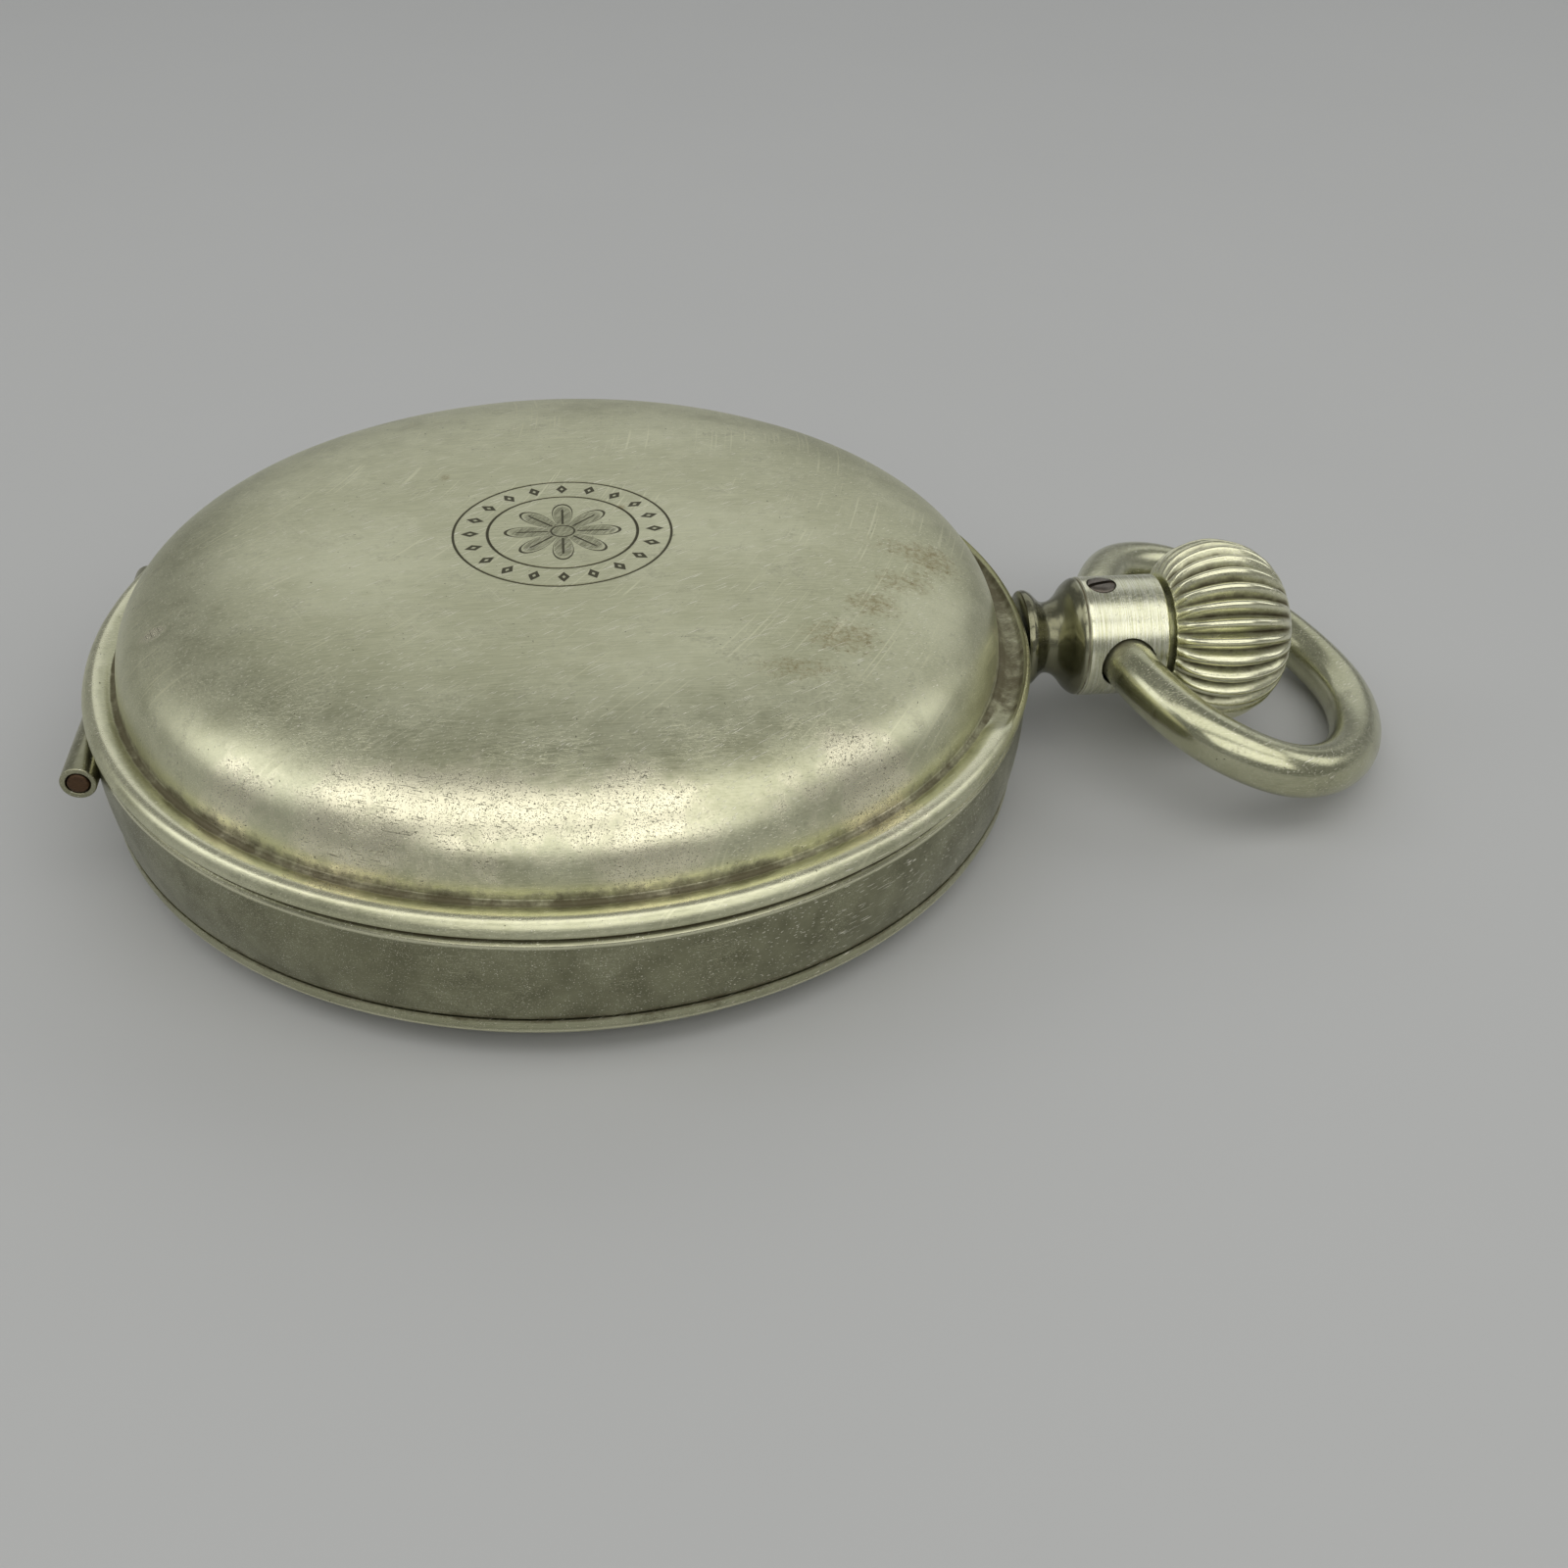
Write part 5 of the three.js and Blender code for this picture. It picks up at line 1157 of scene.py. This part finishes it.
# %% Build the metal finishes of the works
def plain_metal(name, light, dark, rough, bearing=0, bump_mm=0.003, rings=None, rust=0.0):
    """Two tones mixed by a stretched grain or by turned rings round a centre, with brown spots."""
    f = Finish(name)
    cloud = f.noise(f.at, 0.8, 4, 0.6)
    if rings:
        grain = f.arcs(rings, 60, 0.09)
    else:
        grain = f.noise(f.stretched(2.0, 0.05, bearing, 3), 1.0, 3, 0.6)
    scratch_and_glint = f.smooth(f.noise(f.stretched(5, 0.06, bearing + 38, 5), 1.0, 1), 0.66, 0.75)
    colour = f.blend(f.smooth(cloud * 0.5 + grain * 0.5, 0.34, 0.66), dark, light)
    # Scratches mixed towards a brighter copy of the light tone are partly fresh metal and partly painted glint.
    colour = f.blend(scratch_and_glint * 0.4, colour, tuple(min(1, 1.35 * c) for c in light[:3]) + (1,))
    brown = f.smooth(f.noise(f.at, 1.7, 5, 0.7), 0.62 - rust * 0.25, 0.72 - rust * 0.2)
    brown = brown * (0.25 + rust * 0.6)
    colour = f.blend(brown, colour, (0.10, 0.055, 0.025, 1))
    roughness = rough + (cloud - 0.5) * 0.15 + (grain - 0.5) * 0.14 + brown * 0.25
    height = grain + scratch_and_glint * -1.2 + brown * -0.8
    return f.close(Base_Color=colour, Metallic=1 - brown * 0.4, Roughness=roughness,
                   Normal=f.bump(height, bump_mm))


# %% [markdown]
# Good movements of this age have damascened plates: a grinding disc is drawn across them in broad
# parallel stripes. Each stripe's colour ramps from dark to light as painted sheen, standing in for the
# way the grain of a stripe turns to the light, and fine arcs of the disc cross it.

# %% Stripe the plates
def striped_nickel(name, bearing, pitch=2.3):
    """Damascened plate: each band's tone ramps across it as painted sheen, and fine arcs cross every band."""
    f = Finish(name)
    a = math.radians(bearing)
    across = f.x * math.sin(a) + f.y * math.cos(a)
    share = f.node("ShaderNodeMath", {"operation": "FRACT"}, [across / pitch])
    swirl = f.noise(f.stretched(0.05, 1.8, -bearing + 12, 6), 1.0, 3, 0.6)
    cloud = f.noise(f.at, 0.5, 4, 0.6)
    # The dark-to-light ramp across each stripe is painted sheen for the stripe's changing reflection.
    tone = f.smooth(share + (swirl - 0.5) * 0.5, 0.0, 1.0)
    colour = f.blend(tone, (0.46, 0.45, 0.41, 1), (0.80, 0.79, 0.73, 1))
    colour = f.blend(f.smooth(cloud, 0.55, 0.75) * 0.35, colour, (0.42, 0.36, 0.24, 1))
    edge = 1 - f.smooth(share, 0.0, 0.06)
    height = share * 2.0 + swirl * 0.8 - edge
    rough = 0.27 + (swirl - 0.5) * 0.2 + (cloud - 0.5) * 0.1
    return f.close(Base_Color=colour, Metallic=1.0, Roughness=rough, Normal=f.bump(height, 0.006))


# %% [markdown]
# Each metal is now a light and a dark tone, a roughness and a grain. The rings on the two winding
# wheels must be centred on their own axles, so each of them has a finish of its own.

# %% Make the metals
CROWN_WHEEL_AT = tuple(JOINT_AT["crown_wheel_spin"][:2])
RATCHET_AT = tuple(JOINT_AT["ratchet_spin"][:2])
STEEL, DEEP_STEEL = (0.62, 0.62, 0.63, 1), (0.36, 0.36, 0.38, 1)
BROWN, DEEP_BROWN = (0.20, 0.12, 0.07, 1), (0.07, 0.045, 0.03, 1)
WORN_STEEL, WORN_DARK = (0.26, 0.235, 0.20, 1), (0.11, 0.095, 0.08, 1)
NICKEL, DEEP_NICKEL = (0.74, 0.72, 0.60, 1), (0.55, 0.54, 0.43, 1)
BLUE, DEEP_BLUE = (0.03, 0.055, 0.21, 1), (0.015, 0.02, 0.09, 1)
GOLD, DEEP_GOLD = (0.86, 0.62, 0.28, 1), (0.62, 0.40, 0.14, 1)
ON_RATCHET = {"rings": RATCHET_AT, "bump_mm": 0.005}
ON_CROWN_WHEEL = {"rings": CROWN_WHEEL_AT, "bump_mm": 0.005}
aged = plain_metal("aged_pin_steel", BROWN, DEEP_BROWN, 0.44, 20, 0.006, rust=0.7)
screw_steel = plain_metal("screw_steel", WORN_STEEL, WORN_DARK, 0.34, 60, 0.006, rust=0.4)
steel = plain_metal("polished_steel", STEEL, DEEP_STEEL, 0.22, 15)
ratchet_steel = plain_metal("ratchet_steel", STEEL, DEEP_STEEL, 0.2, **ON_RATCHET)
crown_wheel_steel = plain_metal("crown_wheel_steel", STEEL, DEEP_STEEL, 0.2, **ON_CROWN_WHEEL)
blued = plain_metal("heat_blued_steel", BLUE, DEEP_BLUE, 0.2, 30, 0.002)
gilt = plain_metal("gilt_brass", GOLD, DEEP_GOLD, 0.27, 50)
dust_cover = plain_metal("dust_cover_nickel", NICKEL, DEEP_NICKEL, 0.2, rings=(0, 0), bump_mm=0.004)
plates = striped_nickel("damascened_nickel", 28)
cock_plates = striped_nickel("damascened_cock", -35)
print("metals of the works made")

# %% [markdown]
# ## Enamel, ink, jewels and glass
# The enamel has a soft gloss under a clear coat, with hairline crazing. The numerals are black ink
# fired on it, and the jewels are synthetic ruby, deep red and a little see-through.

# %% Build the enamel, ink and jewel finishes
def glossy(name, colour_a, colour_b, rough, scale, crackle=0.0, **constants):
    """A non-metal in two close tones, with hairline crazing where asked."""
    f = Finish(name)
    cloud = f.noise(f.at, scale, 4, 0.6)
    colour = f.blend(f.smooth(cloud, 0.35, 0.7), colour_a, colour_b)
    wave = f.noise(f.at, 0.6, 2)
    height = wave * 0.6
    if crackle:
        edges_only = {"feature": "DISTANCE_TO_EDGE"}
        cells = f.node("ShaderNodeTexVoronoi", edges_only, {"Vector": f.at, "Scale": 0.13})
        line = (1 - f.smooth(cells, 0.004, 0.012)) * f.smooth(wave, 0.5, 0.6) * crackle
        colour = f.blend(line, colour, (0.35, 0.31, 0.24, 1))
        height = height - line
    return f.close(Base_Color=colour, Roughness=rough + (cloud - 0.5) * 0.1,
                   Normal=f.bump(height, 0.004), **constants)


enamel = glossy("white_enamel", (0.86, 0.84, 0.77, 1), (0.91, 0.90, 0.85, 1), 0.14, 0.2, 0.22,
                Coat_Weight=0.5, Coat_Roughness=0.05)
numeral_ink = glossy("numeral_ink", (0.012, 0.012, 0.014, 1), (0.03, 0.03, 0.034, 1), 0.3, 2.0)
ruby = glossy("ruby_jewel", (0.42, 0.02, 0.07, 1), (0.60, 0.05, 0.13, 1), 0.08, 1.5,
              Transmission_Weight=0.35, IOR=1.76)


# %% [markdown]
# The glass bends light with a refractive index of 1.5, and its colour is very slightly green, as old
# plate glass is. Hairlines are cut in the height and the gloss alone.

# %% Build the glass finish
def clear_glass(name):
    """Clear glass with faint hairlines that only change its gloss."""
    f = Finish(name)
    hair = f.smooth(f.noise(f.stretched(9, 0.05, 25, 2), 1.0, 1), 0.68, 0.76)
    hair = f.smooth(f.noise(f.stretched(7, 0.05, -48, 5), 1.0, 1), 0.70, 0.78) + hair
    haze = f.noise(f.at, 0.25, 4, 0.6)
    colour = f.blend(haze * 0.3, (0.97, 0.98, 0.975, 1), (0.92, 0.95, 0.93, 1))
    rough = 0.02 + hair * 0.2 + haze * 0.03
    return f.close(Base_Color=colour, Roughness=rough, Transmission_Weight=1.0, IOR=1.5,
                   Normal=f.bump(hair * -1, 0.002))


crystal_glass = clear_glass("crystal_glass")
print("materials", len(bpy.data.materials))

# %% [markdown]
# ## Dress every part
# Each new piece is told which body carries it, which frame part it stands for, and its finish.

# %% Fit the new pieces
def fit(piece, body, slot, material, *replaced):
    """Rides a piece on a body, gives it a finish, and hides the frame parts it stands for."""
    piece.data.materials.clear()
    piece.data.materials.append(material)
    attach(piece, body)
    if replaced:
        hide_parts(*replaced)
    return piece


fit(back_shell, "back_cover", "nickel_silver", dome_metal, "back_cover")
fit(hinge_middle, "back_cover", "nickel_silver", band_metal_painted_dark)
fit(hinge_web, "back_cover", "nickel_silver", band_metal_painted_dark)
fit(band, "case", "nickel_silver", band_metal_painted_dark, "case_band")
fit(hinge_near, "case", "nickel_silver", band_metal_painted_dark)
fit(hinge_far, "case", "nickel_silver", band_metal_painted_dark)
for knuckle in inner_knuckles:
    fit(knuckle, "case", "nickel_silver", band_metal_painted_dark)
fit(hinge_pin, "case", "aged_pin", aged, "back_hinge_pin")
fit(bezel, "case", "nickel_silver", bezel_metal, "bezel")
fit(pendant, "case", "nickel_silver", neck_metal, "pendant")
fit(screw, "case", "aged_pin", screw_steel, "pendant_screw")
fit(dust_shell, "inner_cover", "nickel_silver", dust_cover, "inner_cover")
fit(dust_knuckle, "inner_cover", "nickel_silver", dust_cover)
fit(bow, "bow", "nickel_silver", bow_metal_painted_dark, "bow")
fit(crown, "crown", "nickel_silver", crown_metal, "crown")
fit(crown_sleeve, "crown", "nickel_silver", neck_metal)
fit(glass, "case", "crystal", crystal_glass, "crystal")
fit(dial, "case", "enamel", enamel, "dial")
for piece in (numerals, seconds_ticks, *tracks):
    fit(piece, "case", "blued_steel", numeral_ink)

# %% [markdown]
# Wheels, bridges, springs and jewels keep the frame's own shapes, which are already right, and only
# get a finish: one by name where the grain must be centred on the part, otherwise one by its slot.

# %% Finish the works
groups = frame["record"]["behaviour"]["bodies"]
BODY_OF = {node: body for body, group in groups.items() for node in group}
for name, piece in works_screws.items():
    fit(piece, BODY_OF[name], "blued_steel", blued, name)
NODE_FINISH = {
    "inner_hinge_pin": aged,
    "main_plate": plates,
    "barrel_bridge": plates,
    "train_bridge": plates,
    "pallet_bridge": cock_plates,
    "balance_cock": cock_plates,
    "ratchet_wheel": ratchet_steel,
    "ratchet_screw": ratchet_steel,
    "crown_wheel": crown_wheel_steel,
    "crown_wheel_core": crown_wheel_steel,
}
SLOT_FINISH = {
    "gilt": gilt,
    "steel": steel,
    "blued_steel": blued,
    "ruby": ruby,
    "nickel_movement": plates,
    "aged_pin": aged,
    "nickel_silver": band_metal_painted_dark,
    "enamel": enamel,
    "crystal": crystal_glass,
}
slot_of = {part["node"]: part["material_slot"] for part in frame["record"]["subparts"]}
for name, node in frame["nodes"].items():
    material = NODE_FINISH.get(name) or SLOT_FINISH[slot_of[name]]
    if "screw" in name and slot_of[name] == "steel" and name != "ratchet_screw":
        material = blued
    node.data.materials.clear()
    node.data.materials.append(material)
print("finished", len(frame["nodes"]), "frame parts")

# %% [markdown]
# ## Stage, light and camera
# The watch lies on a plain pale floor. A broad sheet of light overhead and another to the front make
# the long soft highlight on the near shoulder, smaller ones at the sides lift the hinge and the neck,
# and a dim sheet at the back is what the flat of the dome reflects. The surroundings are an even grey.

# %% Lay the floor
def floor_piece(size, height):
    """A flat square grid, size across, at a height in millimetres."""
    line = np.linspace(-size / 2, size / 2, 9)
    x, y = np.meshgrid(line, line, indexing="ij")
    return surface("floor", np.stack([x, y, 0 * x + height], -1), wrap_columns=False)


floor = floor_piece(6000, -0.02)
floor_look = Finish("pale_floor")
paper = floor_look.noise(floor_look.at, 0.02, 5, 0.6)
floor_tone = floor_look.blend(paper * 0.4, (0.54, 0.545, 0.545, 1), (0.48, 0.485, 0.485, 1))
floor.data.materials.append(floor_look.close(Base_Color=floor_tone, Roughness=0.75))
for face in floor.data.polygons:
    if face.normal.z < 0:
        floor.data.flip_normals()
        break

# %% [markdown]
# Every light is a plain rectangle. Its brightness as seen in a reflection is its power over its area,
# so large sheets stay soft even where they light the watch strongly.

# %% Hang the lights
def softbox(name, at, towards, size, power, colour=(1, 1, 1)):
    """An area light at a place in metres, turned to face a point, with a size in metres."""
    lamp = bpy.data.lights.new(name, "AREA")
    lamp.shape, lamp.size, lamp.size_y = "RECTANGLE", size[0], size[1]
    lamp.energy, lamp.color = power, colour
    holder = bpy.data.objects.new(name, lamp)
    bpy.context.scene.collection.objects.link(holder)
    facing = (Vector(towards) - Vector(at)).to_track_quat("-Z", "Y")
    holder.matrix_world = Matrix.Translation(at) @ facing.to_matrix().to_4x4()
    return holder


softbox("overhead", (0.0, -0.10, 0.44), (0, 0, 0), (0.85, 0.26), 0.78, (1.0, 0.99, 0.955))
softbox("front_sheet", (0.05, -0.44, 0.38), (0, 0, 0), (0.85, 0.30), 0.98, (1.0, 0.99, 0.96))
softbox("left_side", (-0.45, 0.05, 0.30), (0, 0, 0), (0.20, 0.30), 0.26)
softbox("right_side", (0.46, 0.06, 0.26), (0.03, 0, 0), (0.20, 0.26), 0.18)
softbox("back_sheet", (0.14, 0.60, 0.40), (0, 0, 0), (1.0, 0.45), 0.66, (0.975, 0.99, 1.0))

world = bpy.data.worlds.new("studio")
bpy.context.scene.world = world
world.use_nodes = True
surroundings = world.node_tree.nodes["Background"]
surroundings.inputs["Color"].default_value = (0.80, 0.81, 0.80, 1)
surroundings.inputs["Strength"].default_value = 0.30
print("lights", len(bpy.data.lights))

# %% [markdown]
# The camera stands low in front and a little to the right, close to the watch, so the round back is
# a wide ellipse and the bow comes forward. Its turn is written as three directions: right, up and back.
# Lights and camera are placed in metres, as Blender and the frame have them.

# %% Set the camera
AZIMUTH, ELEVATION, ROLL = (math.radians(d) for d in (-7.68, 36.49, 1.75))
STANDS_AT = (0.00128, -0.08202, 0.05776)
level = math.cos(ELEVATION)
back = Vector((math.sin(AZIMUTH) * level, -math.cos(AZIMUTH) * level, math.sin(ELEVATION)))
right = Vector((math.cos(AZIMUTH), math.sin(AZIMUTH), 0))
up = back.cross(right)
side_axis = math.cos(ROLL) * right + math.sin(ROLL) * up
up_axis = math.cos(ROLL) * up - math.sin(ROLL) * right
eye = bpy.data.cameras.new("eye")
eye.sensor_width, eye.lens = 36, 39.17
eye.clip_start, eye.clip_end = 0.002, 20
camera = bpy.data.objects.new("eye", eye)
bpy.context.scene.collection.objects.link(camera)
turn_matrix = Matrix((side_axis, up_axis, back)).transposed().to_4x4()
camera.matrix_world = Matrix.Translation(STANDS_AT) @ turn_matrix
bpy.context.scene.camera = camera
bpy.context.scene.view_settings.view_transform = "Standard"
print("camera", [round(v, 4) for v in camera.matrix_world.translation])
